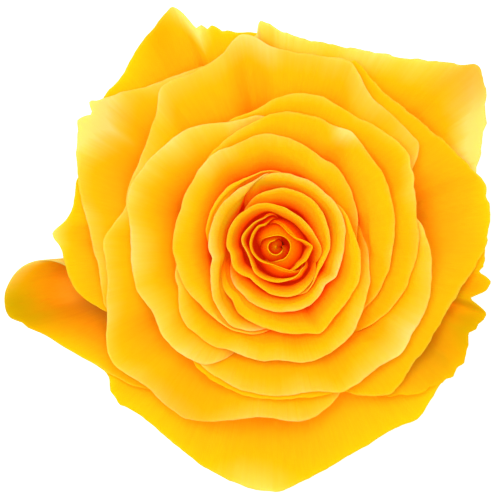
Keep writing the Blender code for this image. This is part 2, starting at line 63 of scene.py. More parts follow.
# %% Petals from the heart outwards
# Each petal has its claw's tilt from the axis, the heading of its blade at the shoulder (0 upright, 90
# level), the width and turn of its rolled lip, and its margin. A point of the margin is a bearing and a
# reach from the axis, then a lift above the crown and a share of the lip's turn where these differ from 0
# and 1.
PETALS = (
    ("petal_coil_core", 3, -16, 0.5, 24, (
        (95, 0.12, -0.9), (150, 0.2, -0.7), (210, 0.2, -0.7), (265, 0.12, -0.9))),
    ("petal_coil_inner", 11, -10, 0.8, 30, (
        (110, 1.2), (150, 1.6), (190, 1.7), (230, 1.6), (275, 1.5), (320, 1.3))),
    ("petal_coil_outer", 13, -25, 1.0, 34, (
        (-80, 2.5), (-55, 2.7), (-25, 2.7), (5, 2.8), (30, 2.7), (60, 2.5), (90, 2.3), (125, 2.1))),
    ("petal_heart_flap", 22, 12, 1.4, 40, (
        (323, 6.0), (335, 6.5), (350, 6.9), (360, 7.2, 0, 0.3), (366, 6.6), (375, 5.4), (383, 4.4),
        (396, 3.7), (420, 3.3))),
    ("petal_heart_inner", 19, 2, 1.0, 44, (
        (118, 5.1), (132, 5.6), (150, 5.5), (180, 5.3), (210, 4.6), (240, 3.8), (270, 3.2), (290, 3.1),
        (310, 3.3))),
    ("petal_heart_middle", 26, 10, 1.2, 46, (
        (112, 5.8), (125, 6.4), (145, 6.8), (165, 7.2), (190, 5.9), (202, 5.8), (215, 6.1), (230, 6.8),
        (260, 7.0), (295, 7.1), (308, 6.6), (320, 5.4))),
    ("petal_heart_outer", 34, 22, 1.6, 52, (
        (-8, 9.0, -2.0, 0.4), (15, 8.2, -0.8, 0.7), (38, 7.7), (66, 7.8), (85, 8.3), (105, 9.1),
        (130, 9.8), (160, 10.2), (180, 10.0), (190, 9.4), (205, 9.6), (217, 9.0), (230, 8.2), (245, 8.7),
        (270, 9.8), (290, 10.4), (300, 10.3))),
    ("petal_ring_low_right", 40, 34, 1.4, 46, (
        (303, 9.9), (320, 9.8), (340, 9.9), (360, 10.8), (380, 11.1), (405, 11.7), (425, 12.0),
        (446, 11.9), (457, 11.5))),
    ("petal_ring_right", 46, 28, 2.2, 60, (
        (236, 11.8, -2.0), (250, 12.5, -0.8), (265, 12.9), (290, 13.4), (310, 13.1), (322, 12.5, 0, 0.7),
        (335, 13.4, 0, 0.5), (345, 13.3), (360, 13.6), (375, 14.2), (394, 14.8), (411, 14.7), (430, 14.8),
        (446, 14.9), (456, 14.7, -0.6, 0.7), (464, 14.2, -1.8, 0.4))),
    ("petal_ring_low", 51, 38, 2.8, 52, (
        (231, 14.0, -2.4), (241, 15.3, -1.0), (252, 16.0), (265, 16.6), (280, 17.7), (290, 18.4),
        (297, 19.3, 0, 0.5), (304, 18.7), (320, 17.9), (340, 17.7), (360, 16.5), (376, 15.6))),
    ("petal_ring_left", 56, 30, 2.4, 60, (
        (60, 11.2, -4.0, 0.3), (74, 12.0, -2.5, 0.5), (88, 12.7, -1.0, 0.8), (102, 13.4), (120, 13.9),
        (155, 13.9), (180, 13.7), (190, 13.1, 0, 0.6), (197, 13.8), (205, 14.6), (215, 15.9),
        (225, 16.9, 0, 0.5), (234, 17.9), (241, 18.2))),
    ("petal_ring_top_left", 60, 34, 2.4, 54, (
        (80, 13.9, -3.0, 0.5), (95, 14.8, -1.2, 0.8), (115, 15.2), (135, 15.4), (152, 15.0))),
    ("petal_fourth_top_left", 64, 44, 4.6, 54, (
        (8, 16.4, -7.0, 0.2), (24, 17.6, -4.8, 0.3), (38, 18.7, -2.6, 0.5), (51, 19.8, -0.8, 0.8),
        (66, 20.4), (83, 21.8), (97, 22.8), (110, 22.3), (123, 22.4, 0, 0.6), (140, 21.6), (160, 20.8),
        (185, 20.6), (205, 20.0), (220, 19.0), (238, 18.3))),
    ("petal_fourth_bottom", 67, 46, 4.2, 50, (
        (203, 21.4), (215, 23.4), (228, 23.8), (240, 23.4), (247, 22.6), (255, 22.9), (270, 22.7),
        (285, 23.9), (300, 23.6), (315, 22.6), (331, 20.6, -1.2, 0.8), (346, 19.2, -3.6, 0.5),
        (361, 18.0, -6.0, 0.3), (375, 17.0, -8.0, 0.2))),
    ("petal_fourth_top", 67, 52, 6.0, 48, (
        (-38, 21.0, -7.0, 0.2), (-24, 22.4, -5.0, 0.3), (-10, 22.9, -2.8, 0.5), (4, 23.5, -1.0, 0.8),
        (20, 24.9), (31, 25.6), (48, 26.4), (57, 27.5, 0, 0.4), (66, 27.0), (85, 27.2), (100, 25.6),
        (118, 23.2))),
    ("petal_third_left", 72, 56, 7.0, 46, (
        (106, 26.0), (125, 29.2), (140, 30.5), (158, 31.6), (168, 30.4), (178, 29.2), (195, 29.2),
        (208, 28.2), (220, 28.9, 0, 0.5), (238, 27.6))),
    ("petal_third_top_right", 72, 58, 5.4, 42, (
        (-44, 23.8, -7.0, 0.2), (-30, 25.8, -4.5, 0.3), (-15, 27.3, -2.0, 0.6), (0, 28.4, -0.5),
        (11, 28.6), (20, 29.6), (28, 31.2, 0, 0.4), (36, 32.2, 0, 0.4), (45, 31.8), (60, 30.6),
        (78, 31.4), (90, 29.8), (103, 26.2))),
    ("petal_third_low_right", 75, 58, 6.5, 44, (
        (238, 27.4, -1.2, 0.5), (248, 28.9, -0.4, 0.9), (258, 29.4), (270, 29.8), (282, 29.8),
        (289, 30.6), (295, 31.8, 0, 0.6), (300, 31.9, 0, 0.7), (304, 31.6), (311, 31.6),
        (319, 32.8, 0, 0.5), (327, 32.2), (336, 32.5), (350, 31.5), (361, 30.4))),
    ("petal_third_bottom", 75, 64, 5.5, 38, (
        (243, 29.4), (252, 29.6), (267, 30.4), (280, 30.4), (290, 30.1), (297, 31.2))),
    ("petal_second_bottom_left", 78, 74, 9.0, 32, (
        (166, 31.0), (179, 34.6, 0, 0.5), (188, 34.4), (202, 36.6), (215, 40.3, 0, 0.3), (227, 38.2),
        (241, 39.0), (252, 36.6), (266, 34.2), (277, 35.1), (284, 34.6, -0.8, 0.8),
        (291, 32.8, -2.5, 0.5))),
    ("petal_second_top", 78, 78, 9.0, 28, (
        (37, 35.4, -0.6, 0.7), (43, 35.2, -0.2, 0.9), (50, 35.1), (56.7, 35.4), (62, 37.2),
        (66, 39.2, 0, 0.6), (68.5, 40.2, 0, 0.6), (78, 39.2), (90, 39.9), (99, 43.2, 0, 0.7), (106, 40.2),
        (116, 38.8), (125, 39.6, 0, 0.6), (131, 36.6), (142, 33.2), (157, 31.4))),
    ("petal_second_right", 81, 78, 10.0, 28, (
        (309, 37.4, 0, 0.4), (320, 36.1), (333, 36.2), (345, 37.5), (355, 40.3), (361, 42.4), (366, 43.1),
        (371, 43.7), (377, 43.8), (382, 42.3), (390, 40.3), (399, 38.6), (410, 37.8), (419, 37.7),
        (427, 39.4, 0, 0.6))),
    ("petal_second_top_left", 83, 82, 10.0, 24, (
        (118, 39.2), (129, 41.4), (136, 44.4), (142, 46.6), (147.5, 46.6), (154, 44.7), (161, 42.2),
        (172, 38.4), (184, 36.2), (195, 34.8))),
    ("petal_outer_left_corner", 86, 80, 7.0, 26, (
        (165, 39.6), (170.5, 41.6), (177, 44.4, 0, 0.3), (181, 43.1), (188, 42.2))),
    ("petal_outer_top_right", 82, 86, 11.0, 20, (
        (19, 42.0, -1), (25, 45.4, -0.3), (29, 47.7, 1), (32, 49.8, 2.2), (36, 52.3, 3.6),
        (39.5, 53.9, 5.2, 0.6), (41.8, 54.3, 5.5, 0.6), (44.5, 52.5, 4.3), (48.7, 49.8, 2.6),
        (56.6, 45.7, 0.5), (60, 44.7), (67, 43.3), (76, 42.2), (82, 42.2), (88, 43.4, 0, 0.4),
        (93.9, 45.5, 0, 0.2), (96, 41.6))),
    ("petal_outer_top_left", 84, 84, 9.0, 20, (
        (100, 43.4, -1), (104, 45.2, -0.5), (108, 46.6, 0.5), (111, 49.6, 2), (113.5, 52.4, 3, 0.6),
        (119, 50.6, 1.5), (126, 48.4, 0.5), (132, 46.4), (139, 44.4))),
    ("petal_outer_left_tongue", 88, 76, 9.0, 26, (
        (186, 41.5, -3), (183.2, 46.6, -2), (184.4, 51.2, -1.5), (188.6, 54.9, -1), (193, 55.9, 0, 0.4),
        (201, 49.7, -1), (212, 43.7, -2), (219.5, 41.3, -3))),
    ("petal_outer_low_right", 85, 80, 8.0, 24, (
        (318, 42.2), (328, 44.3), (336, 43.2), (342, 44.4, 0, 0.4), (345, 42.0), (350, 43.9, 0, 0.4),
        (355, 40.6))),
    ("petal_outer_bottom", 84, 84, 12.0, 24, (
        (217.4, 40.7, -1), (222.3, 44.2, -1, 0.3), (232, 43.5), (245, 45.0), (258, 47.8),
        (269, 49.2, 0, 0.4), (277, 47.3), (288, 44.5), (302, 43.5), (310, 44.5, 0, 0.3), (319, 42.2))),
)
print("petals:", len(PETALS))

# %% [markdown]
# ## Curves
#
# Outlines on a petal bend softly but don't swing past their points. Splines through all the points
# overshoot at the corners of a margin, and straight pieces look cut with scissors. A cubic with limited
# slopes keeps to the points and stays round between them. An arch that stands freely needs only its two
# ends and two handles.

# %% Steps and arches


def smooth_step(low, high, value):
    """0 below low, 1 above high, and an even S between them."""
    share = np.clip((value - low) / (high - low), 0.0, 1.0)
    return share * share * (3.0 - 2.0 * share)


def arch(first, second, third, last, t):
    """The cubic arch from first to last, which leaves towards second and arrives from third."""
    return (1 - t) ** 3 * first + 3 * t * (1 - t) ** 2 * second + 3 * t**2 * (1 - t) * third + t**3 * last


print("halfway up the step:", smooth_step(0.0, 1.0, 0.5))

# %% A curve that keeps to its points


def hermite(knots, values, tangents, at):
    """The cubic that passes each knot's value with its slope: the four Hermite polynomials of the share."""
    steps = np.diff(knots)
    piece = np.clip(np.searchsorted(knots, at, side="right") - 1, 0, len(steps) - 1)
    step = steps[piece]
    share = np.clip((at - knots[piece]) / step, 0.0, 1.0)
    square, cube = share**2, share**3
    return (
        values[piece] * (2 * cube - 3 * square + 1)
        + step * tangents[piece] * (cube - 2 * square + share)
        + values[piece + 1] * (3 * square - 2 * cube)
        + step * tangents[piece + 1] * (cube - square)
    )


def smooth_curve(knots, values, at):
    """A cubic through the values whose slopes are limited, so that it never swings past them.

    The slope at a knot is the mean of its two sides', at most three times the smaller one, and 0 at a peak.
    """
    knots = np.asarray(knots, float)
    values = np.asarray(values, float)
    slopes = np.diff(values) / np.diff(knots)
    tangents = np.concatenate([slopes[:1], 0.5 * (slopes[:-1] + slopes[1:]), slopes[-1:]])
    lower = np.concatenate([slopes[:1], slopes])
    upper = np.concatenate([slopes, slopes[-1:]])
    limit = 3.0 * np.minimum(np.abs(lower), np.abs(upper))
    tangents = np.where(lower * upper <= 0, 0.0, np.clip(tangents, -limit, limit))
    return hermite(knots, values, tangents, at)


print("on the way from 1 over 4 to 2:", smooth_curve([0, 1, 2], [1, 4, 2], np.linspace(0, 2, 5)).round(2))

# %% [markdown]
# ## One blade by itself
#
# On the real petal the claw stands on the hip, the blade swells outwards and the lip turns back. In the
# plane through the axis this is a cubic arch followed by an arc, and the margin says how far the arch goes
# at each bearing. Both parameters run over the whole petal: across from flank to flank, along from claw to
# margin.

# %% The margin and the flanks
# Height of a petal's margin above the table, by how far it reaches from the axis.
CROWN_REACH = (0.0, 3.0, 6.0, 10.0, 13.0, 16.0, 20.0, 25.0, 31.0, 36.0, 41.0, 46.0, 56.0)
CROWN_HEIGHT = (44.5, 45.0, 45.5, 46.5, 48.5, 49.5, 49.3, 48.2, 45.6, 42.2, 37.8, 33.0, 25.0)

# A petal's flanks run in under its neighbours from both ends of its margin: turn on in degrees, share of the
# reach, drop in height and share of the lip's turn. Petals that reach further than this turn on less.
FLANK = (
    (10.0, 0.975, -0.6, 0.7), (22.0, 0.92, -2.2, 0.45), (36.0, 0.83, -5.0, 0.2),
    (50.0, 0.7, -10.0, 0.1))
FLANK_REACH = 15.0
FLANK_LEAST = 0.4


def lengths_along(points, axis=0):
    """The length walked from the first to each point, along a line of points or one way of a grid."""
    steps = np.linalg.norm(np.diff(points, axis=axis), axis=-1)
    start = np.zeros_like(np.take(steps, [0], axis=axis))
    return np.cumsum(np.concatenate([start, steps], axis=axis), axis=axis)


def flank_past(end, side, share):
    """The rows of a flank, which runs on past its end of the margin to its side, -1 or 1."""
    turned = side * share * max(min(FLANK_REACH / end[1], 1.0), FLANK_LEAST)
    return [(end[0] + turned * on, end[1] * reach, end[2] + drop, turn) for on, reach, drop, turn in FLANK]


def with_flanks(rows, flanks):
    """The margin's rows with the flanks' at each end, where they run in under the neighbours."""
    first, last = flanks
    return np.vstack([flank_past(rows[0], -1, first)[::-1], rows, flank_past(rows[-1], 1, last)])


def margin_of(rows, across, flanks):
    """Bearing (radians), reach, height and share of turn along a petal's margin, by its length in plan."""
    full = with_flanks(np.array([tuple(row) + (0.0, 1.0)[len(row) - 2 :] for row in rows], float), flanks)
    bearing, reach = np.radians(full[:, 0]), full[:, 1]
    plan = np.stack([reach * np.cos(bearing), reach * np.sin(bearing)], axis=1)
    along = lengths_along(plan)
    along /= along[-1]
    at = 0.5 * (across + 1.0)
    height = np.interp(reach, CROWN_REACH, CROWN_HEIGHT) + full[:, 2]
    return tuple(smooth_curve(along, column, at) for column in (bearing, reach, height, full[:, 3]))


print("furthest point of a margin:", max(point[1] for petal in PETALS for point in petal[-1]))

# %% The blade
# The dome of the hip that the claws sit on.
DOME_CENTRE = 11.0
DOME_RADIUS = 7.0

# A claw stands this far off the dome. It is this wide, or this share of a narrow petal, which counts
# FLANK_HALF (radians) for each flank. The blade widens between two shares of its arch, and the arch's two
# handles are shares of its span.
CLAW_GAP = 0.3
CLAW_WIDTH = 4.4
CLAW_SHARE = 0.8
FLANK_HALF = 0.3
WIDENING = (-0.05, 0.8)
ARCH_HANDLES = (0.42, 0.36)

# The lip starts at the shoulder. It narrows towards both ends of the margin, and the more steeply the
# higher the power, and never turns by less than this (radians).
SHOULDER_SHARE = 0.66
LIP_NARROWING = 0.45
LIP_END_POWER = 8
LEAST_TURN = 0.02


def lip_offset(radius, heading, turned):
    """How far out and up a round lip has gone from the shoulder, once it has turned by an angle."""
    return np.stack([
        radius * (math.cos(heading) - np.cos(heading + turned)),
        radius * (np.sin(heading + turned) - math.sin(heading)),
    ])


def blade(petal, across, along, flanks):
    """Bearing, distance and tilt from the dome's centre of a free petal, before its neighbours push it out.

    across runs from -1 to 1 over the petal, and along from 0 at the claw to 1 at the margin. Up to the
    shoulder a blade is a cubic arch from the dome, and past it the lip turns outwards on a round arc, which
    goes on past 1 where the outline is frilled outwards.
    """
    _, claw_tilt, heading, lip, turn, rows = petal
    bearing, reach, height, share = margin_of(rows, across, flanks)
    heading = math.radians(heading)
    turn = np.maximum(math.radians(turn) * share, LEAST_TURN)
    radius = lip * (1.0 - LIP_NARROWING * across**LIP_END_POWER) / turn
    end = np.stack([reach - lip_offset(radius, heading, turn)[0], height])
    start_tilt = math.radians(claw_tilt)
    start = np.array([math.sin(start_tilt), math.cos(start_tilt)])[:, None, None]
    facing = np.array([math.sin(heading), math.cos(heading)])[:, None, None]
    first = (DOME_RADIUS + CLAW_GAP) * start + np.array([0.0, DOME_CENTRE])[:, None, None]
    span = np.hypot(*(end - first))
    t = np.clip(along / SHOULDER_SHARE, 0.0, 1.0)
    path = arch(first, first + ARCH_HANDLES[0] * span * start, end - ARCH_HANDLES[1] * span * facing, end, t)
    rolled = np.maximum(along - SHOULDER_SHARE, 0.0) / (1.0 - SHOULDER_SHARE)
    path = path + lip_offset(radius, heading, turn * rolled)
    middle = math.radians(0.5 * (rows[0][0] + rows[-1][0]))
    half = math.radians(0.5 * (rows[-1][0] - rows[0][0])) + FLANK_HALF
    claw_half = min(0.5 * CLAW_WIDTH / first[0, 0, 0], CLAW_SHARE * half)
    spread = smooth_step(*WIDENING, t)
    bearing = middle + (bearing - middle) * spread + across * claw_half * (1.0 - spread)
    up = path[1] - DOME_CENTRE
    return bearing, np.hypot(path[0], up), np.arctan2(path[0], up)


print("a blade's shoulder is at", SHOULDER_SHARE, "of its height, and its claw is", CLAW_WIDTH, "mm wide")

# %% [markdown]
# ## Petals laid on each other
#
# In the bud every petal is pressed against the one inside it. Collision tests between all pairs would be
# slow and would need many rounds. A ledger is quicker: for each bearing and distance from the dome's centre
# it holds how far out the petals laid so far reach, and the next petal keeps outside it. The solids were
# laid the same way, so each petal's shift off its free shape comes out nearly the same.

# %% Reading the ledger
# The ledger has this many columns round the axis and this many rows outwards, which lie this far apart.
LEDGER_BEARINGS = 180
LEDGER_ROWS = 128
LEDGER_STEP = 0.5


def ledger_weights(position):
    """The nearest cell of a position, and smooth weights for it and its two neighbours that add up to 1."""
    cell = np.floor(position + 0.5).astype(int)
    off = position - cell
    return cell, (0.5 * (0.5 - off) ** 2, 0.75 - off**2, 0.5 * (0.5 + off) ** 2)


def read_ledger(ledger, bearing, distance):
    """The ledger's tilt at any bearing and distance: the weighted mean of the nine cells around it."""
    column, column_weights = ledger_weights(bearing / (2 * math.pi) * LEDGER_BEARINGS)
    row, row_weights = ledger_weights(distance / LEDGER_STEP)
    found = 0.0
    for i, column_weight in enumerate(column_weights):
        for j, row_weight in enumerate(row_weights):
            cells = ledger[(column + i - 1) % LEDGER_BEARINGS, np.clip(row + j - 1, 0, LEDGER_ROWS - 1)]
            found = found + column_weight * row_weight * cells
    return found


print("ledger cells:", LEDGER_BEARINGS * LEDGER_ROWS)

# %% Widening and evening


def spread_cells(cells, combine, axis):
    """Each cell combined with its two neighbours, round the bearings (axis 0) or by distance (axis 1)."""
    if axis:
        near = np.concatenate([cells[:, :1], cells, cells[:, -1:]], axis=1)
        return combine(near[:, :-2], near[:, 1:-1], near[:, 2:])
    near = np.concatenate([cells[-1:], cells, cells[:1]])
    return combine(near[:-2], near[1:-1], near[2:])


def widest(before, here, after):
    """The largest of three neighbours."""
    return np.maximum(np.maximum(before, here), after)


def evened(before, here, after):
    """Half of what is here and a quarter of each neighbour."""
    return 0.25 * before + 0.5 * here + 0.25 * after


def settled(raw):
    """The ledger widened by a petal's thickness and evened, so that the next petal lies on it uncreased."""
    for combine, axes in ((widest, (0, 0, 1, 1)), (evened, (0, 1, 1))):
        for axis in axes:
            raw = spread_cells(raw, combine, axis)
    return raw


def evened_grid(grid, times):
    """A grid evened with its neighbours along both ways, again and again."""
    for _ in range(times):
        for axis in (0, 1):
            grid = np.moveaxis(grid, axis, 0)
            padded = np.concatenate([grid[:1], grid, grid[-1:]])
            grid = np.moveaxis(evened(padded[:-2], padded[1:-1], padded[2:]), 0, axis)
    return grid


print("a single 1 among zeros evens to:", evened(0.0, 1.0, 0.0))

# %% Entering a petal


def points_of(bearing, distance, tilt):
    """Points from their bearing, distance from the dome's centre and tilt from the axis."""
    reach = distance * np.sin(tilt)
    return np.stack([
        reach * np.cos(bearing),
        reach * np.sin(bearing),
        DOME_CENTRE + distance * np.cos(tilt),
    ], axis=-1)


def polar_of(points):
    """Bearing, distance from the dome's centre and tilt of points."""
    height = points[..., 2] - DOME_CENTRE
    reach = np.hypot(points[..., 0], points[..., 1])
    return np.arctan2(points[..., 1], points[..., 0]), np.hypot(reach, height), np.arctan2(reach, height)


def cells_of(bearing, distance):
    """The ledger's column and row that points fall into."""
    column = np.round(bearing / (2 * math.pi) * LEDGER_BEARINGS).astype(int) % LEDGER_BEARINGS
    return column, np.clip(np.round(distance / LEDGER_STEP).astype(int), 0, LEDGER_ROWS - 1)


def between(grid):
    """A grid with the midpoints of its cells' sides and middles put in."""
    rows = np.stack([grid[:-1], 0.5 * (grid[:-1] + grid[1:])], axis=1).reshape(-1, *grid.shape[1:])
    grid = np.concatenate([rows, grid[-1:]])
    columns = np.stack([grid[:, :-1], 0.5 * (grid[:, :-1] + grid[:, 1:])], axis=2)
    return np.concatenate([columns.reshape(len(grid), -1, 3), grid[:, -1:]], axis=1)


def enter_in_ledger(raw, points):
    """Marks how far out a petal reaches."""
    bearing, distance, tilt = polar_of(between(points))
    np.maximum.at(raw, cells_of(bearing, distance), tilt)


print("the top of the dome is at", points_of(0.0, DOME_RADIUS, 0.0).tolist())

# %% How far a petal is pushed out
# Skins are laid this far apart. The softness rounds the bend where one meets another, and a push is evened
# out this many times over a petal's fine grid.
LAID_APART = 0.55
PETAL_SOFTNESS = 0.6
PUSH_EVENINGS = 10


def push_of(bearing, distance, tilt, ledger):
    """How far what is laid inside tilts a petal out: the soft maximum of its own tilt and theirs, evened.

    The soft maximum is half of what both values and a root add up to: the root of their squared difference
    plus the squared softness.
    """
    pushed = read_ledger(ledger, bearing, distance) + LAID_APART / distance
    softness = PETAL_SOFTNESS / distance
    laid = 0.5 * (tilt + pushed + np.sqrt((tilt - pushed) ** 2 + softness**2))
    return evened_grid(laid - tilt, PUSH_EVENINGS)


print("skins are laid", LAID_APART, "mm apart")

# %% [markdown]
# ## The fine skin
#
# A live petal is about a third of a millimetre thick and thinner at its rim, and its margin is never quite
# smooth: it is ruffled up and down and nibbled in and out. Each wave could be pulled by hand, or a noise
# could move the points, but the first is slow to change and the second can tear a thin rim. Here the waves
# are sums of a few sines of the length along the margin, which is cheap, repeats exactly and stays smooth.

# %% How each petal differs
# A look starts with the ruffle and the nibble of the margin, how pale the rim is and how far in, and ends
# with what else is the petal's own. The pale rim is partly pigment and partly a painted highlight. Pale
# patches, which are painted highlights as well as pigment, and green places are spots, each with a bearing,
# a strength, a width in degrees and a depth in millimetres. Flanks are how far the two ends run on under
# the neighbours, and tips are small points and notches of the outline: a bearing, a length and a width in
# degrees.
RIM_KEYS = ("ruffle", "nibble", "pale", "pale_width")
PLAIN_LOOK = {"pale_and_highlight_patches": (), "green": (), "flanks": (1.0, 1.0), "tips": ()}

# How much warmer a petal of each ring gets for a millimetre away from its rim ("foot") and down into the
# bloom ("deep"): painted shade that darkens the crowded, deep places to orange, partly the real orange of
# the foot. The last value is how strongly the painted glow, an emission that stands in for light reaching
# the deep petals, shines in it.
RING_WARMTH_AND_SHADE = {
    "coil": {"foot": 0.9, "deep": 0.5, "glow": 0.15},
    "heart": {"foot": 1.5, "deep": 0.9, "glow": 0.17},
    "ring": {"foot": 1.5, "deep": 0.4, "glow": 0.17},
    "fourth": {"foot": 1.0, "deep": 0.2, "glow": 0.12},
    "third": {"foot": 0.6, "deep": 0.1, "glow": 0.1},
    "second": {"foot": 0.5, "deep": 0.1, "glow": 0.05},
    "outer": {"foot": 0.4, "deep": 0.08, "glow": 0.0},
}
LOOKS = {
    "petal_coil_core": (0.0, 0.0, 0.2, 0.6, {"flanks": (1.7, 1.7)}),
    "petal_coil_inner": (0.02, 0.02, 0.2, 0.6, {}),
    "petal_coil_outer": (0.03, 0.03, 0.2, 0.6, {}),
    "petal_heart_flap": (0.05, 0.04, 0.1, 0.6, {"foot": 3.0}),
    "petal_heart_inner": (0.05, 0.04, 0.2, 1.0, {"flanks": (0.6, 0.4)}),
    "petal_heart_middle": (0.06, 0.05, 0.3, 1.0, {"flanks": (0.5, 0.4)}),
    "petal_heart_outer": (0.1, 0.08, 0.35, 1.2, {"flanks": (0.5, 1.0)}),
    "petal_ring_low_right": (0.1, 0.08, 0.4, 1.5, {}),
    "petal_ring_right": (0.15, 0.1, 0.65, 1.5, {"pale_and_highlight_patches": ((350, 0.2, 45, 2.5),), "flanks": (1.0, 0.5)}),
    "petal_ring_low": (0.15, 0.1, 0.35, 2.0, {}),
    "petal_ring_left": (0.15, 0.1, 0.75, 2.2, {"flanks": (0.5, 1.0)}),
    "petal_ring_top_left": (0.12, 0.1, 0.3, 2.0, {"flanks": (0.5, 1.0)}),
    "petal_fourth_top_left": (0.25, 0.1, 0.48, 3.0, {"pale_and_highlight_patches": ((126, 0.4, 14, 4),), "flanks": (0.6, 1.0)}),
    "petal_fourth_bottom": (0.25, 0.1, 0.6, 3.0, {"flanks": (1.0, 0.6)}),
    "petal_fourth_top": (0.25, 0.1, 0.42, 2.4, {"pale_and_highlight_patches": ((59, 0.7, 5, 4),), "flanks": (0.6, 1.0)}),
    "petal_third_left": (0.25, 0.1, 0.8, 4.5, {"flanks": (1.0, 0.5)}),
    "petal_third_top_right": (0.25, 0.1, 0.42, 3.0, {
        "pale_and_highlight_patches": ((23, 0.3, 9, 4),), "flanks": (0.6, 1.0), "tips": ((31, -0.5, 3), (24, -0.4, 2))}),
    "petal_third_low_right": (0.25, 0.1, 0.6, 3.8, {"pale_and_highlight_patches": ((325, 0.4, 16, 6),), "flanks": (0.6, 1.0)}),
    "petal_third_bottom": (0.25, 0.16, 0.2, 2.0, {"flanks": (1.0, 0.4)}),
    "petal_second_bottom_left": (0.25, 0.1, 0.65, 3.8, {
        "green": ((240, 0.3, 16, 8),), "flanks": (1.0, 0.5)}),
    "petal_second_top": (0.25, 0.1, 0.62, 6.0, {
        "pale_and_highlight_patches": ((97, 0.4, 8, 4),), "foot": 0.1, "deep": 0.0, "flanks": (0.6, 1.0)}),
    "petal_second_right": (0.15, 0.2, 0.32, 2.2, {
        "foot": 0.6, "flanks": (1.0, 0.4), "tips": ((373.5, -0.4, 1.5), (363.0, -0.3, 1.5))}),
    "petal_second_top_left": (0.3, 0.12, 0.6, 4.5, {
        "pale_and_highlight_patches": ((145, 1.2, 7, 9),), "foot": 0.4,
        "tips": ((142.0, 1.2, 1.4), (144.2, -1.0, 1.2), (147.4, 0.8, 2.0))}),
    "petal_outer_left_corner": (0.25, 0.1, 0.3, 3.0, {
        "pale_and_highlight_patches": ((177, 0.5, 3, 3),), "foot": 0.8, "tips": ((176.6, 0.7, 2.5),)}),
    "petal_outer_top_right": (0.25, 0.25, 0.85, 8.0, {
        "pale_and_highlight_patches": ((30, 0.8, 9, 8),), "green": ((41, 0.7, 6, 8),), "foot": 0.15, "deep": 0.0,
        "tips": ((41.8, 0.4, 2.0), (34.0, -0.5, 1.4), (30.6, 0.4, 1.4), (93.9, 0.3, 1.6))}),
    "petal_outer_top_left": (0.4, 0.1, 0.3, 3.8, {
        "pale_and_highlight_patches": ((111, 1.1, 3, 5),), "green": ((119, 0.6, 5, 8),),
        "tips": ((113.5, 0.4, 1.5), (110.2, -1.8, 1.4), (107.6, -0.6, 0.8), (106.0, 0.4, 1.0),
                 (103.9, -0.6, 1.0))}),
    # The tongue's large foot and its wide green spot over the lower edge are painted shade as well as
    # colour.
    "petal_outer_left_tongue": (0.4, 0.0, 0.3, 3.0, {
        "pale_and_highlight_patches": ((184, 0.8, 6, 3),), "green": ((193, 0.95, 10, 11),), "foot": 2.6,
        "flanks": (-0.6, 1.0), "tips": ((196.5, -0.8, 1.5),)}),
    "petal_outer_low_right": (0.5, 0.35, 0.1, 3.0, {
        "green": ((338, 0.8, 16, 8),), "foot": 1.9,
        "tips": ((345.2, -1.6, 2.0), (352.8, -1.4, 1.6), (335.8, -0.8, 1.5), (324.0, 0.6, 2.0))}),
    "petal_outer_bottom": (0.4, 0.1, 0.22, 4.0, {
        "pale_and_highlight_patches": ((265, 0.6, 9, 7),), "foot": 0.3, "deep": 0.0, "tips": ((225.0, 0.5, 2.0),)}),
}


def ring_of(name):
    """The ring that a petal belongs to, which is the second word of its name."""
    return name.split("_")[1]


def look_of(name):
    """The plain look and the ring's warmth, painted shade and painted glow, changed by what is the petal's
    own.
    """
    *rim, own = LOOKS[name]
    return {**PLAIN_LOOK, **RING_WARMTH_AND_SHADE[ring_of(name)], **dict(zip(RIM_KEYS, rim)), **own}


print("petals with green on them:", ", ".join(name for name in LOOKS if look_of(name)["green"]))

# %% Waves
# Wavelengths along the margin, in millimetres.
RUFFLE_LENGTHS = (17.0, 9.5, 5.3)
NIBBLE_LENGTHS = (6.1, 3.4, 1.9)
PATCH_LENGTHS = (23.0, 13.0, 7.0)

# Each petal draws its phases with its own number, counted on from these.
NIBBLE_SEED = 0
RUFFLE_SEED = 100
PATCH_SEED = 200


def waves(length, wavelengths, seed):
    """A smooth random line of about unit height: sines of the given wavelengths with drawn phases."""
    draw = np.random.default_rng(seed)
    phases = draw.uniform(0, 2 * math.pi, len(wavelengths))
    heights = np.linspace(1.0, 0.5, len(wavelengths))
    total = sum(
        height * np.sin(2 * math.pi * length / wavelength + phase)
        for height, wavelength, phase in zip(heights, wavelengths, phases)
    )
    return total / heights.sum()


print("a ruffle over 20 mm:", waves(np.linspace(0.0, 20.0, 5), RUFFLE_LENGTHS, RUFFLE_SEED).round(2))

# %% Middle surfaces of the petals
# A grid has this many rows along the blade. Its columns are this wide at the margin, but not fewer or more
# than the next two numbers, and the margin is measured at so many samples.
SKIN_ROWS = 64
COLUMN_WIDTH = 0.6
LEAST_COLUMNS = 44
MOST_COLUMNS = 150
RIM_SAMPLES = 200

# Notches and tips are cut, and the ruffle starts, past these shares of the blade's height. Both fade at the
# ends of the margin, and the more steeply the higher the power.
FRILL_FROM = 0.6
RUFFLE_FROM = 0.5
FRILL_END_POWER = 10


def frill_of(number, look, across, length, fade):
    """How far the outline stands out or in, in millimetres: nibbles, and tips that fall off evenly."""
    frill = look["nibble"] * (waves(length, NIBBLE_LENGTHS, NIBBLE_SEED + number) - 1.0) * fade
    bearing = np.degrees(margin_of(PETALS[number][-1], across, look["flanks"])[0])
    return frill + sum(change * np.maximum(1.0 - np.abs(bearing - at) / width, 0.0)
                       for at, change, width in look["tips"])


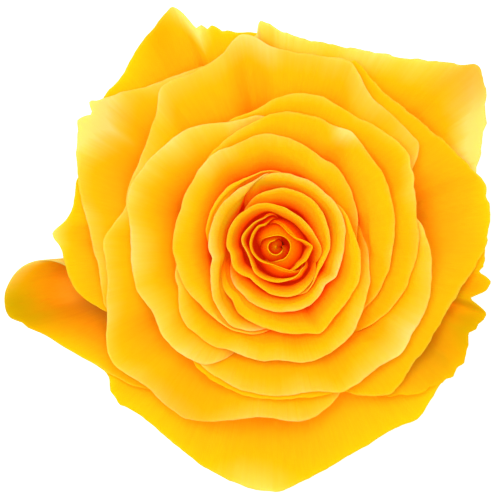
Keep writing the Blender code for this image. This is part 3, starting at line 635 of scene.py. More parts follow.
def fine_petal(number, petal, raw):
    """A petal's middle surface as a fine grid of points, laid on what the ledger holds and entered in it.

    Each point is the free blade's, tilted out by what lies inside it, if anything does. The margin is cut
    shorter or longer by its frill, and its tilt is ruffled by waves that fade away towards the middle of the
    blade. The lengths across the blade come with the points.
    """
    look = look_of(petal[0])
    rim = margin_of(petal[-1], np.linspace(-1, 1, RIM_SAMPLES), look["flanks"])
    plan = np.stack([rim[1] * np.cos(rim[0]), rim[1] * np.sin(rim[0])], axis=-1)
    rim_length = lengths_along(plan)[-1]
    columns = int(np.clip(rim_length / COLUMN_WIDTH, LEAST_COLUMNS, MOST_COLUMNS))
    across, along = np.meshgrid(np.linspace(-1, 1, columns + 1), np.linspace(0, 1, SKIN_ROWS + 1))
    length = 0.5 * (across + 1.0) * rim_length
    fade = 1.0 - across**FRILL_END_POWER
    frill = frill_of(number, look, across, length, fade)
    cut_along = along + frill * (1.0 - SHOULDER_SHARE) / petal[3] * smooth_step(FRILL_FROM, 1.0, along)
    bearing, distance, tilt = blade(petal, across, cut_along, look["flanks"])
    ruffle = look["ruffle"] * waves(length, RUFFLE_LENGTHS, RUFFLE_SEED + number) * fade
    push = push_of(bearing, distance, tilt, settled(raw)) if raw.any() else 0.0
    tilt = tilt + push + ruffle * smooth_step(RUFFLE_FROM, 1.0, along) / distance
    points = points_of(bearing, distance, tilt)
    enter_in_ledger(raw, points)
    return points, length


LEDGER = np.zeros((LEDGER_BEARINGS, LEDGER_ROWS))
SURFACES = [fine_petal(number, petal, LEDGER) for number, petal in enumerate(PETALS)]
print("points on the middle surfaces:", sum(points[..., 0].size for points, _ in SURFACES))

# %% [markdown]
# ## From a grid to a closed skin
#
# A single sheet would do for a view from above, but light passes through a petal and its cut edge shows, so
# each one is a closed skin: the grid moved out to both sides along its normals, and a strip round the rim.
# The measures that the colour needs are worked out here too, and kept on the mesh: how far a point is from
# the rim, how warm and shaded, pale and green it is, how strongly its painted glow shines, and which face it
# is on.

# %% A closed skin


def grid_normals(points):
    """Unit normals of a grid of points, from the middle differences along both its ways."""
    normals = np.cross(np.gradient(points, axis=1), np.gradient(points, axis=0))
    return normals / np.linalg.norm(normals, axis=-1, keepdims=True)


def skin_of(points, half_thickness):
    """Vertices and quads of a closed skin: the grid moved both ways by the half thickness, and a rim."""
    rows, columns = points.shape[:2]
    offset = half_thickness[..., None] * grid_normals(points)
    vertices = np.concatenate([(points + offset).reshape(-1, 3), (points - offset).reshape(-1, 3)])
    index = np.arange(rows * columns).reshape(rows, columns)
    front = np.stack([index[:-1, :-1], index[:-1, 1:], index[1:, 1:], index[1:, :-1]], -1).reshape(-1, 4)
    rim = np.concatenate([index[0, :-1], index[:-1, -1], index[-1, :0:-1], index[:0:-1, 0]])
    below = rows * columns
    following = np.roll(rim, -1)
    edge = np.stack([rim, rim + below, following + below, following], -1)
    return vertices, np.concatenate([front, front[:, ::-1] + below, edge]).tolist()


square = np.stack([*np.mgrid[0:2, 0:2], np.zeros((2, 2))], axis=-1)
print("faces of a skin on a flat square:", len(skin_of(square, np.ones((2, 2)))[1]))

# %% A mesh in the scene
# Where the flower's axis stands. It is right of the origin, because the bloom reaches further to the left.
AXIS_AT = (5.83, 0.55)


def add_mesh(name, vertices, faces, material, node, measures, uv):
    """A piece in metres on its axis, with its point measures and its map of two lengths."""
    mesh = bpy.data.meshes.new(name)
    placed = (vertices + np.array([*AXIS_AT, 0.0])) * METRE
    mesh.from_pydata(placed.tolist(), [], faces)
    mesh.shade_smooth()
    for key, values in measures.items():
        layer = mesh.attributes.new(key, "FLOAT", "POINT")
        layer.data.foreach_set("value", np.asarray(values, np.float32).ravel())
    corners = np.empty(len(mesh.loops), np.int32)
    mesh.loops.foreach_get("vertex_index", corners)
    layer = mesh.uv_layers.new(name="blade")
    layer.data.foreach_set("uv", uv[corners].astype(np.float32).ravel())
    mesh.materials.append(material)
    obj = bpy.data.objects.new(name, mesh)
    bpy.context.scene.collection.objects.link(obj)
    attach(obj, "root")
    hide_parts(node)
    return obj


print("the flower's axis stands at", AXIS_AT, "mm")

# %% Measures for the colour
# The flanks count this much further from the rim than the margin. A thin painted highlight follows the
# very rim. Pale rims, partly pigment and partly a painted highlight, vary by this share along the margin,
# and die away between these depths in millimetres below the crown, so that only the lit top is painted
# pale. The painted glow sets in between its own two depths.
FLANK_EXTRA = 1.0
RIM_HIGHLIGHT = 0.1
RIM_HIGHLIGHT_WIDTH = 0.4
PALE_CHANGE = 0.3
PALE_HIGHLIGHT_DEPTHS = (2.0, 9.0)
PAINTED_GLOW_DEPTHS = (-1.0, 4.0)


def bell(value, width):
    """1 at 0 and falling off evenly on both sides: e to the minus square of value by width."""
    return np.exp(-((value / width) ** 2))


def turned_from(bearing, at):
    """How many degrees a bearing is from another, the short way round."""
    return np.abs((bearing - at + 180) % 360 - 180)


def spots(places, bearing, from_rim):
    """Soft spots on a petal, each at a bearing and fading sideways and away from the rim."""
    none = np.zeros_like(from_rim)
    return sum((strength * bell(turned_from(bearing, at), width) * bell(from_rim, inwards)
                for at, strength, width, inwards in places), none)


def petal_measures(number, name, points, length):
    """Distance from the rim, warmth with painted shade, paleness with painted highlights, greenness and
    painted glow at each point of a petal's grid.

    A petal is paler towards its rim, by a falling power of e, and in its patches: partly pigment, partly a
    painted highlight that fades below the crown. It is warmer towards its foot, and the more so the deeper
    it lies below the bloom's crown, which is painted shade as well as the foot's own orange.
    """
    look = look_of(name)
    up = lengths_along(points)
    sideways = lengths_along(points, 1)
    to_side = np.minimum(sideways, sideways[:, -1:] - sideways)
    from_rim = np.minimum(up[-1:] - up, to_side + FLANK_EXTRA)
    reach = np.hypot(points[..., 0], points[..., 1])
    depth = np.interp(reach, CROWN_REACH, CROWN_HEIGHT) - points[..., 2]
    bearing = np.degrees(np.arctan2(points[..., 1], points[..., 0]))
    along_rim = 1.0 + PALE_CHANGE * waves(length, PATCH_LENGTHS, PATCH_SEED + number)
    pale = look["pale"] * np.exp(-from_rim / look["pale_width"]) * along_rim
    # The rim line is a painted highlight, and the paleness fades out below the crown, where shade falls.
    pale = (pale + RIM_HIGHLIGHT * bell(from_rim, RIM_HIGHLIGHT_WIDTH)) * (1.0 - smooth_step(*PALE_HIGHLIGHT_DEPTHS, depth))
    return {
        "from_rim": from_rim,
        # Warmth is painted shade as well as pigment: darker orange towards the foot and deep below the
        # crown.
        "warmth_and_shade": look["foot"] * from_rim + look["deep"] * np.maximum(depth, 0.0),
        "pale": pale + spots(look["pale_and_highlight_patches"], bearing, from_rim),
        "green": spots(look["green"], bearing, from_rim),
        # A painted glow: an emission that stands in for light reaching the deep petals.
        "glow": look["glow"] * smooth_step(*PAINTED_GLOW_DEPTHS, depth),
    }


print("the warmest point of the outermost petal:",
      petal_measures(len(PETALS) - 1, PETALS[-1][0], *SURFACES[-1])["warmth_and_shade"].max().round(1))

# %% One petal's skin
# The skin is this thick in the blade and at the rim, and thins out over about this far.
SKIN_THICKNESS = 0.38
RIM_THICKNESS = 0.16
RIM_FADE = 3.0


def add_petal(number, name, points, length, materials):
    """A petal as a closed skin with its measures. Its map runs in millimetres across and along the blade."""
    measures = petal_measures(number, name, points, length)
    body = 1.0 - np.exp(-measures["from_rim"] / RIM_FADE)
    half = 0.5 * (RIM_THICKNESS + (SKIN_THICKNESS - RIM_THICKNESS) * body)
    vertices, faces = skin_of(points, half)
    both = {key: np.concatenate([value.ravel()] * 2) for key, value in measures.items()}
    both["outside"] = np.repeat([0.0, 1.0], points[..., 0].size)
    uv = np.stack([length, lengths_along(points)], -1).reshape(-1, 2)
    slot = "petal_heart_orange" if ring_of(name) in ("coil", "heart") else "petal_yellow"
    return add_mesh(name + "_skin", vertices, faces, materials[slot], name, both, np.tile(uv, (2, 1)))


print("a petal is", SKIN_THICKNESS, "mm thick, and", RIM_THICKNESS, "mm at its rim")

# %% [markdown]
# ## Petal colour
#
# The petal's yellow is a thin pigment, palest on the rolled rim and orange towards its foot. On top of
# that the colour holds painted light: a painted highlight on the rolled rim where it faces the light,
# painted shade that turns a point a darker orange the deeper it lies between its neighbours, and a painted
# glow in the deep heart. Fine veins run from the claw and fork towards the margin, and the oldest petals
# keep some green. A picture of the flower wrapped over it would hold one light and one view, so the
# colour is worked out from the measures kept on the mesh.

# %% Colours
# BRIGHT and PALE colour the pale rims and patches: partly pigment, partly painted highlight.
BRIGHT = (1.0, 0.465, 0.0, 1.0)
PALE = (1.0, 0.6, 0.15, 1.0)
VEIN = (0.95, 0.26, 0.0, 1.0)
# GREEN is the old petals' own green, and on the tongue's lower edge it is also painted shade.
GREEN = (0.28, 0.27, 0.0, 1.0)
OUTSIDE = (1.0, 0.46, 0.01, 1.0)
UNLIT = (0.0, 0.0, 0.0, 1.0)

# The skin's colour by warmth, which is painted shade as well as pigment and darkens towards orange, and the
# colour of the painted glow, an emission that stands in for light reaching the deep petals.
WARMTH_AND_SHADE_STOPS = (
    (0.0, (0.99, 0.44, 0.0)), (3.0, (0.98, 0.405, 0.0)), (6.0, (0.97, 0.365, 0.0)),
    (10.0, (0.94, 0.31, 0.0)), (15.0, (0.87, 0.225, 0.0)), (24.0, (0.74, 0.12, 0.0)),
    (40.0, (0.8, 0.36, 0.03)))
PAINTED_GLOW_STOPS = (
    (0.0, (0.2, 0.06, 0.0)), (4.0, (0.4, 0.1, 0.0)), (8.0, (0.5, 0.05, 0.0)),
    (13.0, (0.6, 0.02, 0.0)), (28.0, (0.6, 0.02, 0.0)))
WARMEST = 40.0
print("the colour runs over", WARMEST, "mm of warmth in", len(WARMTH_AND_SHADE_STOPS), "stops")

# %% Helpers for nodes
SOCKETS = {"float": "NodeSocketFloat", "vector": "NodeSocketVector", "color": "NodeSocketColor"}


def new_group(name, inputs, outputs):
    """An empty node group with named sockets: inputs are (name, kind, value), outputs (name, kind)."""
    tree = bpy.data.node_groups.new(name, "ShaderNodeTree")
    for socket, kind, value in inputs:
        made = tree.interface.new_socket(socket, in_out="INPUT", socket_type=SOCKETS[kind])
        if value is not None:
            made.default_value = value
    for socket, kind in outputs:
        tree.interface.new_socket(socket, in_out="OUTPUT", socket_type=SOCKETS[kind])
    return tree, tree.nodes.new("NodeGroupInput"), tree.nodes.new("NodeGroupOutput")


def put(tree, socket, value):
    """Joins a socket to another one, or sets it to a constant."""
    if isinstance(value, bpy.types.NodeSocket):
        tree.links.new(value, socket)
    else:
        socket.default_value = value


def put_all(tree, node, values):
    """Joins or sets a node's inputs by their names."""
    for socket, value in values.items():
        put(tree, node.inputs[socket], value)


def maths(tree, operation, *values, clamp=False):
    """One sum, product or other operation on values, kept between 0 and 1 if it is clamped."""
    node = tree.nodes.new("ShaderNodeMath")
    node.operation = operation
    node.use_clamp = clamp
    for socket, value in zip(node.inputs, values):
        put(tree, socket, value)
    return node.outputs[0]


def mixed(tree, factor, first, second):
    """The first colour at a factor of 0 and the second at 1. A colour Mix has its two colours at 6 and 7."""
    node = tree.nodes.new("ShaderNodeMix")
    node.data_type = "RGBA"
    put(tree, node.inputs["Factor"], factor)
    put(tree, node.inputs[6], first)
    put(tree, node.inputs[7], second)
    return node.outputs[2]


def noise(tree, vector, scale, detail, roughness=0.5):
    """Soft random values about one half over the vector's space."""
    node = tree.nodes.new("ShaderNodeTexNoise")
    put_all(tree, node, {"Vector": vector, "Scale": scale, "Detail": detail, "Roughness": roughness})
    return node.outputs["Fac"]


def ramp(tree, factor, stops, most):
    """The colour that eased stops have at a factor, which runs from 0 to most like the stops' places."""
    node = tree.nodes.new("ShaderNodeValToRGB")
    node.color_ramp.interpolation = "EASE"
    elements = node.color_ramp.elements
    while len(elements) < len(stops):
        elements.new(1.0)
    for element, (place, colour) in zip(elements, stops):
        element.position = place / most
        element.color = (*colour, 1.0)
    put(tree, node.inputs["Fac"], maths(tree, "DIVIDE", factor, most, clamp=True))
    return node.outputs["Color"]


print("kinds of sockets:", ", ".join(SOCKETS))

# %% Veins
# Veins on a petal are this far apart in millimetres. The noise is stretched along the blade to this share,
# and a vein is sharper the larger its edge is.
VEIN_SPACING = 1.2
VEIN_STRETCH = 0.045
VEIN_EDGE = 14.0
VEIN_DETAIL = 2.0
VEIN_ROUGHNESS = 0.6


def vein_group():
    """Thin lines along the blade: where a noise stretched along it passes its middle value.

    The mask is 1 less the edge times the noise's distance from one half, and the relief is the noise itself.
    """
    tree, given, made = new_group(
        "Petal veins", [("Map", "vector", None), ("Spacing", "float", VEIN_SPACING)],
        [("Mask", "float"), ("Relief", "float")])
    split = tree.nodes.new("ShaderNodeSeparateXYZ")
    put(tree, split.inputs[0], given.outputs["Map"])
    joined = tree.nodes.new("ShaderNodeCombineXYZ")
    put(tree, joined.inputs[0], maths(tree, "DIVIDE", split.outputs[0], given.outputs["Spacing"]))
    put(tree, joined.inputs[1], maths(tree, "MULTIPLY", split.outputs[1], VEIN_STRETCH))
    field = noise(tree, joined.outputs[0], 1.0, VEIN_DETAIL, VEIN_ROUGHNESS)
    off = maths(tree, "ABSOLUTE", maths(tree, "SUBTRACT", field, 0.5))
    mask = maths(tree, "SUBTRACT", 1.0, maths(tree, "MULTIPLY", off, VEIN_EDGE), clamp=True)
    put_all(tree, made, {"Mask": mask, "Relief": field})
    return tree


VEINS = vein_group()
print("shared group:", VEINS.name)

# %% Pigment
# The mottle is worth up to this many millimetres of warmth. Veins, the outer face and bright places take
# these shares of their own colours, and a place is palest where the square of its paleness passes the last
# value. The bright and the palest places are partly painted highlights.
MOTTLE_SPAN = 5.0
VEIN_SHARE = 0.26
OUTSIDE_SHARE = 0.45
BRIGHT_SHARE = 1.6
PALEST_FROM = 0.06


def pigment_group():
    """Colour of a petal's skin, and of its painted glow, from its measures.

    Depth is the warmth in millimetres, painted shade as well as pigment. The base is a ramp over it,
    stirred by the mottle. Veins, the outer face, brightness, paleness and green are mixed over it in this
    order; brightness and paleness are partly painted highlights.
    """
    names = ("Depth", "Pale", "Green", "Outside", "Veins", "Streaks", "Mottle", "Warmth", "Glow")
    tree, given, made = new_group(
        "Petal pigment", [(name, "float", 0.0) for name in names],
        [("Color", "color"), ("Shining", "color")])
    sockets = [given.outputs[name] for name in names]
    depth, pale, green, outside, veins, streaks, mottle, warmth_and_shade, glow = sockets
    stirred = maths(tree, "MULTIPLY", maths(tree, "SUBTRACT", mottle, 0.5), MOTTLE_SPAN)
    warmed = maths(tree, "ADD", maths(tree, "ADD", depth, stirred), warmth_and_shade)
    colour = ramp(tree, warmed, WARMTH_AND_SHADE_STOPS, WARMEST)
    colour = mixed(tree, maths(tree, "MULTIPLY", veins, VEIN_SHARE), colour, VEIN)
    colour = mixed(tree, maths(tree, "MULTIPLY", outside, OUTSIDE_SHARE), colour, OUTSIDE)
    streaky = maths(tree, "MULTIPLY", maths(tree, "ADD", mottle, streaks), 0.5)
    patchy = maths(tree, "MULTIPLY", pale, maths(tree, "ADD", streaky, 0.5))
    colour = mixed(tree, maths(tree, "MULTIPLY", patchy, BRIGHT_SHARE, clamp=True), colour, BRIGHT)
    square = maths(tree, "MULTIPLY", patchy, patchy)
    colour = mixed(tree, maths(tree, "SUBTRACT", square, PALEST_FROM, clamp=True), colour, PALE)
    colour = mixed(tree, green, colour, GREEN)
    # The shining colour is a painted glow, which lights the deep petals though they are no lamp.
    shining = mixed(tree, glow, UNLIT, ramp(tree, depth, PAINTED_GLOW_STOPS, WARMEST))
    put_all(tree, made, {"Color": colour, "Shining": shining})
    return tree


PIGMENT = pigment_group()
print("shared group:", PIGMENT.name)

# %% Parts that all the flower's materials share


def new_material(name):
    """A material with nodes, its tree and its shader."""
    material = bpy.data.materials.new(name)
    material.use_nodes = True
    tree = material.node_tree
    return material, tree, tree.nodes["Principled BSDF"]


def measure(tree, name):
    """One of the measures that are kept on the mesh."""
    node = tree.nodes.new("ShaderNodeAttribute")
    node.attribute_name = name
    return node.outputs["Fac"]


def mottle_of(tree, scale, detail):
    """Soft spots over the piece, on its own coordinates in metres."""
    return noise(tree, tree.nodes.new("ShaderNodeTexCoord").outputs["Object"], scale, detail)


def use_group(tree, group, **values):
    """A node group placed in a material, with its inputs joined or set."""
    node = tree.nodes.new("ShaderNodeGroup")
    node.node_tree = group
    put_all(tree, node, values)
    return node


def vein_lines(tree, spacing):
    """The veins on a piece's own map of lengths."""
    blade_map = tree.nodes.new("ShaderNodeUVMap")
    blade_map.uv_map = "blade"
    return use_group(tree, VEINS, Map=blade_map.outputs["UV"], Spacing=spacing)


def add_relief(tree, shader, height, strength, distance):
    """Raises and sinks the shading by a height."""
    bump = tree.nodes.new("ShaderNodeBump")
    put_all(tree, bump, {"Strength": strength, "Distance": distance * METRE, "Height": height})
    put(tree, shader.inputs["Normal"], bump.outputs["Normal"])


print("materials so far:", len(bpy.data.materials))

# %% Petal materials
# Heart petals start this many millimetres of warmth further on: the heart's own orange and painted shade
# in the deep heart. The relief is a strength and a height.
HEART_WARMTH_AND_SHADE = 5.0
PETAL_MOTTLE = (90.0, 3.0)
PETAL_RELIEF = (0.35, 0.3)
PETAL_FINISH = {
    "Emission Strength": 1.0, "Roughness": 0.55,
    "Specular IOR Level": 0.04, "Specular Tint": (1.0, 0.7, 0.05, 1.0),
    "Subsurface Weight": 0.6, "Subsurface Radius": (1.0, 0.45, 0.1), "Subsurface Scale": 0.002}


def petal_material(name, warmth_and_shade):
    """Petal skin: the pigment group's colour, a painted glow, light scattered under the skin, and faint vein
    relief.
    """
    material, tree, shader = new_material(name)
    lines = vein_lines(tree, VEIN_SPACING)
    colour = use_group(
        tree, PIGMENT, Depth=measure(tree, "warmth_and_shade"), Pale=measure(tree, "pale"),
        Green=measure(tree, "green"), Outside=measure(tree, "outside"),
        Veins=lines.outputs["Mask"], Streaks=lines.outputs["Relief"],
        Mottle=mottle_of(tree, *PETAL_MOTTLE), Warmth=warmth_and_shade, Glow=measure(tree, "glow"))
    put_all(tree, shader, {**PETAL_FINISH, "Base Color": colour.outputs["Color"],
                           "Emission Color": colour.outputs["Shining"]})
    add_relief(tree, shader, lines.outputs["Relief"], *PETAL_RELIEF)
    # The faint painted glow only colours the skin. Sampling it as a lamp would cost time and add noise.
    material.cycles.emission_sampling = "NONE"
    return material


PETAL_MATERIALS = {
    "petal_yellow": petal_material("petal_skin", 0.0),
    "petal_heart_orange": petal_material("heart_petal_skin", HEART_WARMTH_AND_SHADE),
}
print("petal materials:", ", ".join(material.name for material in PETAL_MATERIALS.values()))

# %% All petals in place
petal_skins = [add_petal(number, PETALS[number][0], *surface, PETAL_MATERIALS)
               for number, surface in enumerate(SURFACES)]
print("petal faces:", sum(len(skin.data.polygons) for skin in petal_skins))

# %% [markdown]
# ## Hip and sepals
#
# Under the bloom sit the round green hip and the five sepals that once closed the bud. The hip could be a
# sculpted lump, but it grew round its axis, so a profile turned round it is closer to the real thing. A
# sepal is a thick leaf: an arch with a belly, a keel along its middle, small lobes at its sides and a
# drawn-out tip.

# %% The hip's profile
# The hip, the short stub of the cut stem under it and the dome that the petals sit on, as radius and height.
STEM_RADIUS = 2.6
STEM_HEIGHT = 3.0
HIP_RADIUS = 6.2
HIP_MIDDLE = 6.8
HIP_FOOT = (4.46, 4.2)
HIP_NECK = (6.01, 8.4)
DOME_TILTS = (100, 85, 70, 55, 40, 26, 13, 0)
DOME_TOP_RADIUS = 0.4

# The cut is flat out to these shares of the stem's radius, and its edge is rounded over this height.
CUT_SHARES = (0.55, 0.93)
CUT_ROUNDING = 0.25

# Ribs are a share of the radius. They rise over the first pair of heights and die away over the second.
RIB_COUNT = 5
RIB_SHARE = 0.02
RIBS_RISE = (0.0, 3.0)
RIBS_FALL = (5.0, 8.4)
HIP_SEGMENTS = 96
HIP_KNOT_STEPS = 14


def hip_profile():
    """The cut, the stem, the round hip and the dome as a smooth curve of (radius, height), with its ribs."""
    tilts = np.radians(DOME_TILTS)
    dome = np.stack([DOME_RADIUS * np.sin(tilts), DOME_CENTRE + DOME_RADIUS * np.cos(tilts)], axis=1)[:-1]
    cut = [(STEM_RADIUS * share, 0.0) for share in CUT_SHARES]
    knots = np.array([
        *cut, (STEM_RADIUS, CUT_ROUNDING), (STEM_RADIUS, STEM_HEIGHT), HIP_FOOT, (HIP_RADIUS, HIP_MIDDLE),
        HIP_NECK, *dome, (DOME_TOP_RADIUS, DOME_CENTRE + DOME_RADIUS)])
    along = lengths_along(knots)
    spans = len(knots) - 1
    at = np.interp(np.linspace(0, spans, spans * HIP_KNOT_STEPS), range(len(knots)), along)
    profile = np.stack([smooth_curve(along, knots[:, 0], at), smooth_curve(along, knots[:, 1], at)], axis=1)
    height = profile[:, 1]
    return profile, RIB_SHARE * smooth_step(*RIBS_RISE, height) * (1.0 - smooth_step(*RIBS_FALL, height))


def turned_skin(profile, segments, ribs):
    """A closed skin turned round the axis from a profile, with a cosine of the bearing for its ribs."""
    turn = np.arange(segments) * 2 * math.pi / segments
    wave = 1.0 + ribs[:, None] * np.cos(RIB_COUNT * turn)[None, :]
    radius = profile[:, :1] * wave
    height = np.repeat(profile[:, 1:], segments, axis=1)
    rings = np.stack([radius * np.cos(turn), radius * np.sin(turn), height], axis=-1)
    index = np.arange(rings[..., 0].size).reshape(len(profile), segments)
    following = np.roll(index, -1, axis=1)
    sides = np.stack([index[:-1], following[:-1], following[1:], index[1:]], -1).reshape(-1, 4)
    middle = len(profile) * segments
    vertices = np.concatenate([rings.reshape(-1, 3), [[0, 0, profile[0, 1]], [0, 0, profile[-1, 1]]]])
    low = np.stack([np.full(segments, middle), following[0], index[0]], -1)
    high = np.stack([np.full(segments, middle + 1), index[-1], following[-1]], -1)
    return vertices, [*sides.tolist(), *low.tolist(), *high.tolist()]


print("points on the hip's profile:", len(hip_profile()[0]))

# %% A sepal's middle surface
SEPAL_COUNT = 5
SEPAL_FIRST_BEARING = 54.0
SEPAL_WIDTH = 7.0
SEPAL_PATH = ((6.38, 8.2), (12.0, 7.6), (20.5, 8.4), (26.0, 0.25))
SEPAL_GRID = (40, 80)

# Half widths: a share at the root, a belly that is widest a third of the way along, a taper whose power
# draws out the tip, and the tip's own half width. The cup is how far the sides rise, by the square of their
# distance.
SEPAL_ROOT_SHARE = 0.62
SEPAL_BELLY_AT = 1 / 3
SEPAL_TAPER = 2.2
SEPAL_TIP = 0.45
SEPAL_CUP = 0.09

# Lobes cut in by this share, and set in between these shares of the length. Their sine runs through so many
# radians over the whole length, and is shifted by the last number from each sepal to the next.
LOBE_SHARE = 0.22
LOBES_FROM = (0.35, 0.6)
LOBE_RADIANS = 46
LOBE_SHIFT = 1.7


def sepal_middle(bearing, shift):
    """A sepal's middle surface: a cubic arch, its half width a belly with small lobes, cupped across."""
    columns, rows = SEPAL_GRID
    across, t = np.meshgrid(np.linspace(-1, 1, columns + 1), np.linspace(0, 1, rows + 1))
    path = arch(*(np.array(point)[:, None, None] for point in SEPAL_PATH), t)
    swell = np.sin(math.pi * np.clip(0.5 * t / SEPAL_BELLY_AT, 0, 1))
    belly = SEPAL_ROOT_SHARE + (1 - SEPAL_ROOT_SHARE) * swell
    wave = 0.5 + 0.5 * np.sin(LOBE_RADIANS * t + shift + (across > 0))
    lobes = 1.0 - LOBE_SHARE * smooth_step(*LOBES_FROM, t) * wave
    half = 0.5 * SEPAL_WIDTH * belly * (1 - t**SEPAL_TAPER) * lobes + SEPAL_TIP
    side = across * half
    reach = path[0]
    height = path[1] + SEPAL_CUP * side**2 * np.sqrt(1 - t) * half / (0.5 * SEPAL_WIDTH)
    turn = math.radians(bearing)
    points = np.stack([
        reach * math.cos(turn) - side * math.sin(turn),
        reach * math.sin(turn) + side * math.cos(turn),
        height,
    ], axis=-1)
    return points, side, across


print("a sepal's widest place:", (2 * sepal_middle(0.0, 0.0)[1].max()).round(1), "mm")

# %% Green skins
# Colours are the dark and the light green of the mottle and the vein's.
SEPAL_COLOURS = ((0.07, 0.17, 0.02, 1.0), (0.14, 0.27, 0.04, 1.0), (0.3, 0.45, 0.13, 1.0))
HIP_COLOURS = ((0.13, 0.25, 0.04, 1.0), (0.2, 0.34, 0.07, 1.0), (0.62, 0.68, 0.32, 1.0))
LEAF_VEIN_SPACING = 0.5
LEAF_VEIN_SHARE = 0.35
LEAF_MOTTLE = (700.0, 4.0)
LEAF_RELIEF = (0.5, 0.2)


def leaf_material(name, colours, roughness):
    """Green skin: a mottle of two greens, paler veins and pale places that are kept on the mesh."""
    material, tree, shader = new_material(name)
    dark, light, vein = colours
    lines = vein_lines(tree, LEAF_VEIN_SPACING)
    colour = mixed(tree, mottle_of(tree, *LEAF_MOTTLE), dark, light)
    colour = mixed(tree, maths(tree, "MULTIPLY", lines.outputs["Mask"], LEAF_VEIN_SHARE), colour, vein)
    colour = mixed(tree, measure(tree, "pale"), colour, vein)
    put_all(tree, shader, {"Base Color": colour, "Roughness": roughness, "Specular IOR Level": 0.3})
    add_relief(tree, shader, lines.outputs["Relief"], *LEAF_RELIEF)
    return material


SEPAL_MATERIAL = leaf_material("sepal_skin", SEPAL_COLOURS, roughness=0.6)
HIP_MATERIAL = leaf_material("hip_skin", HIP_COLOURS, roughness=0.45)
print("green materials:", SEPAL_MATERIAL.name, "and", HIP_MATERIAL.name)

# %% The hip in place
# The cut is what lies lower than this. It is so pale, and its pith, inside a share of the stem's radius, is
# paler by the second value.
CUT_HEIGHT = 0.05
CUT_PALE = (0.5, 0.4)
PITH_SHARE = 0.6


def add_hip(material):
    """The hip and the stem's stub, with a pale cut. Its map runs round the hip on both sides, and up."""
    profile, ribs = hip_profile()
    vertices, faces = turned_skin(profile, HIP_SEGMENTS, ribs)
    bearing = np.arctan2(vertices[:, 1], vertices[:, 0])
    reach = np.hypot(vertices[:, 0], vertices[:, 1])
    wood, pith = CUT_PALE
    cut = (vertices[:, 2] < CUT_HEIGHT).astype(float) * (wood + pith * (reach < PITH_SHARE * STEM_RADIUS))
    uv = np.stack([np.abs(bearing) * HIP_RADIUS, vertices[:, 2]], -1)
    return add_mesh("hip_and_stem_skin", vertices, faces, material, "hip_and_stem",
                    {"pale": cut}, uv)


hip_skin = add_hip(HIP_MATERIAL)
print("hip faces:", len(hip_skin.data.polygons))

# %% The sepals in place
# A sepal is thin at its sides and thick along the keel, which is this half as wide.
SEPAL_THICKNESS = (0.34, 0.74)
KEEL_WIDTH = 0.9

# Its upper face is this pale, and paler by the second value at the rim, over this share of the half width.
SEPAL_PALE = (0.15, 0.3)
SEPAL_RIM = 1 / 8


def add_sepal(count, material):
    """One sepal at its bearing, as a closed skin with a keel and a pale rim on its upper face."""
    bearing = SEPAL_FIRST_BEARING + count * 360 / SEPAL_COUNT
    points, side, across = sepal_middle(bearing, LOBE_SHIFT * count)
    thin, thick = SEPAL_THICKNESS
    vertices, faces = skin_of(points, 0.5 * (thin + (thick - thin) * bell(side, KEEL_WIDTH)))
    uv = np.stack([side, lengths_along(points)], -1).reshape(-1, 2)
    face_pale, rim_pale = SEPAL_PALE
    upper = face_pale + rim_pale * bell(1 - np.abs(across), SEPAL_RIM)
    pale = np.concatenate([upper.ravel(), np.zeros(side.size)])
    name = f"sepal_{count + 1}"
    return add_mesh(name + "_skin", vertices, faces, material, name, {"pale": pale},
                    np.tile(uv, (2, 1)))


sepal_skins = [add_sepal(count, SEPAL_MATERIAL) for count in range(SEPAL_COUNT)]
print("sepals:", len(sepal_skins))

# %% [markdown]
# ## Floor, light and camera
#
# The bloom lies on a white surface under wide soft light, with no hard shadow. A few small lamps would draw
# shadows that the photo doesn't have, so one wide disc stands high above it, and the room and the floor
# fill the rest. The camera looks straight down from far away, so that high and low petals keep their true
# places in plan.

# %% White floor
FLOOR_HALF = 3000.0
FLOOR_FINISH = {
    "Base Color": (0.9, 0.9, 0.9, 1.0), "Roughness": 0.9, "Emission Color": (1.0, 1.0, 1.0, 1.0),
    "Emission Strength": 0.5}


def add_floor():
    """A white square that also shines a little, so that it stays white under the bloom."""
    material, tree, shader = new_material("floor_white")
    put_all(tree, shader, FLOOR_FINISH)
    half = FLOOR_HALF * METRE
    mesh = bpy.data.meshes.new("floor")
    corners = [(-half, -half, 0), (half, -half, 0), (half, half, 0), (-half, half, 0)]
    mesh.from_pydata(corners, [], [(0, 1, 2, 3)])
    mesh.materials.append(material)
    floor = bpy.data.objects.new("floor", mesh)
    bpy.context.scene.collection.objects.link(floor)
    return floor


print("floor:", add_floor().name)

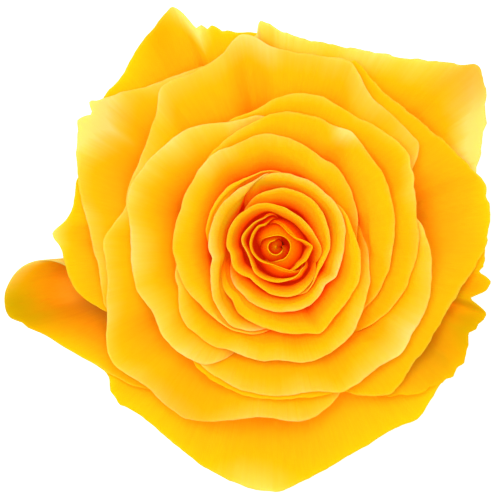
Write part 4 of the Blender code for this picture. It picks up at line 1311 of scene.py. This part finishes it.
# %% Soft light
LIGHT_AT = (-150.0, 200.0, 2000.0)
LIGHT_SIZE = 1200.0
LIGHT_POWER = 32.0
ROOM_LIGHT = 0.62

# Light bounces this often, because the deep petals are lit by their neighbours.
LIGHT_BOUNCES = 8


def add_light(name, place, size, power):
    """A wide disc of light that faces the origin."""
    lamp = bpy.data.lights.new(name, "AREA")
    lamp.shape = "DISK"
    lamp.size = size * METRE
    lamp.energy = power
    obj = bpy.data.objects.new(name, lamp)
    obj.location = [length * METRE for length in place]
    obj.rotation_euler = obj.location.to_track_quat("Z", "Y").to_euler()
    bpy.context.scene.collection.objects.link(obj)


def add_world():
    """Even white light from all around."""
    world = bpy.data.worlds.new("soft_room")
    world.use_nodes = True
    background = world.node_tree.nodes["Background"]
    put_all(world.node_tree, background, {"Color": (1.0, 1.0, 1.0, 1.0), "Strength": ROOM_LIGHT})
    bpy.context.scene.world = world


add_light("overhead", LIGHT_AT, LIGHT_SIZE, LIGHT_POWER)
add_world()
bpy.context.scene.view_settings.view_transform = "Standard"
bpy.context.scene.cycles.diffuse_bounces = LIGHT_BOUNCES
print("lamp power:", LIGHT_POWER, "W")

# %% Camera
# The picture's size and the heart's place in it, in pixels, and how many millimetres a pixel shows at this
# height.
PICTURE_PIXELS = 500
HEART_PIXEL = (276.5, 247.0)
PIXEL = 0.2
SHARP_HEIGHT = 40.0
CAMERA_HEIGHT = 3000.0
SENSOR = 36.0


def add_camera():
    """A camera that looks straight down, and whose picture shows the heart at its pixel."""
    centre = PICTURE_PIXELS / 2
    x = AXIS_AT[0] + (centre - HEART_PIXEL[0]) * PIXEL
    y = AXIS_AT[1] - (centre - HEART_PIXEL[1]) * PIXEL
    lens = bpy.data.cameras.new("camera")
    lens.sensor_width = SENSOR
    lens.lens = SENSOR * (CAMERA_HEIGHT - SHARP_HEIGHT) / (PICTURE_PIXELS * PIXEL)
    camera = bpy.data.objects.new("camera", lens)
    camera.location = (x * METRE, y * METRE, CAMERA_HEIGHT * METRE)
    bpy.context.scene.collection.objects.link(camera)
    bpy.context.scene.camera = camera
    return lens.lens


print("focal length:", round(add_camera()), "mm")
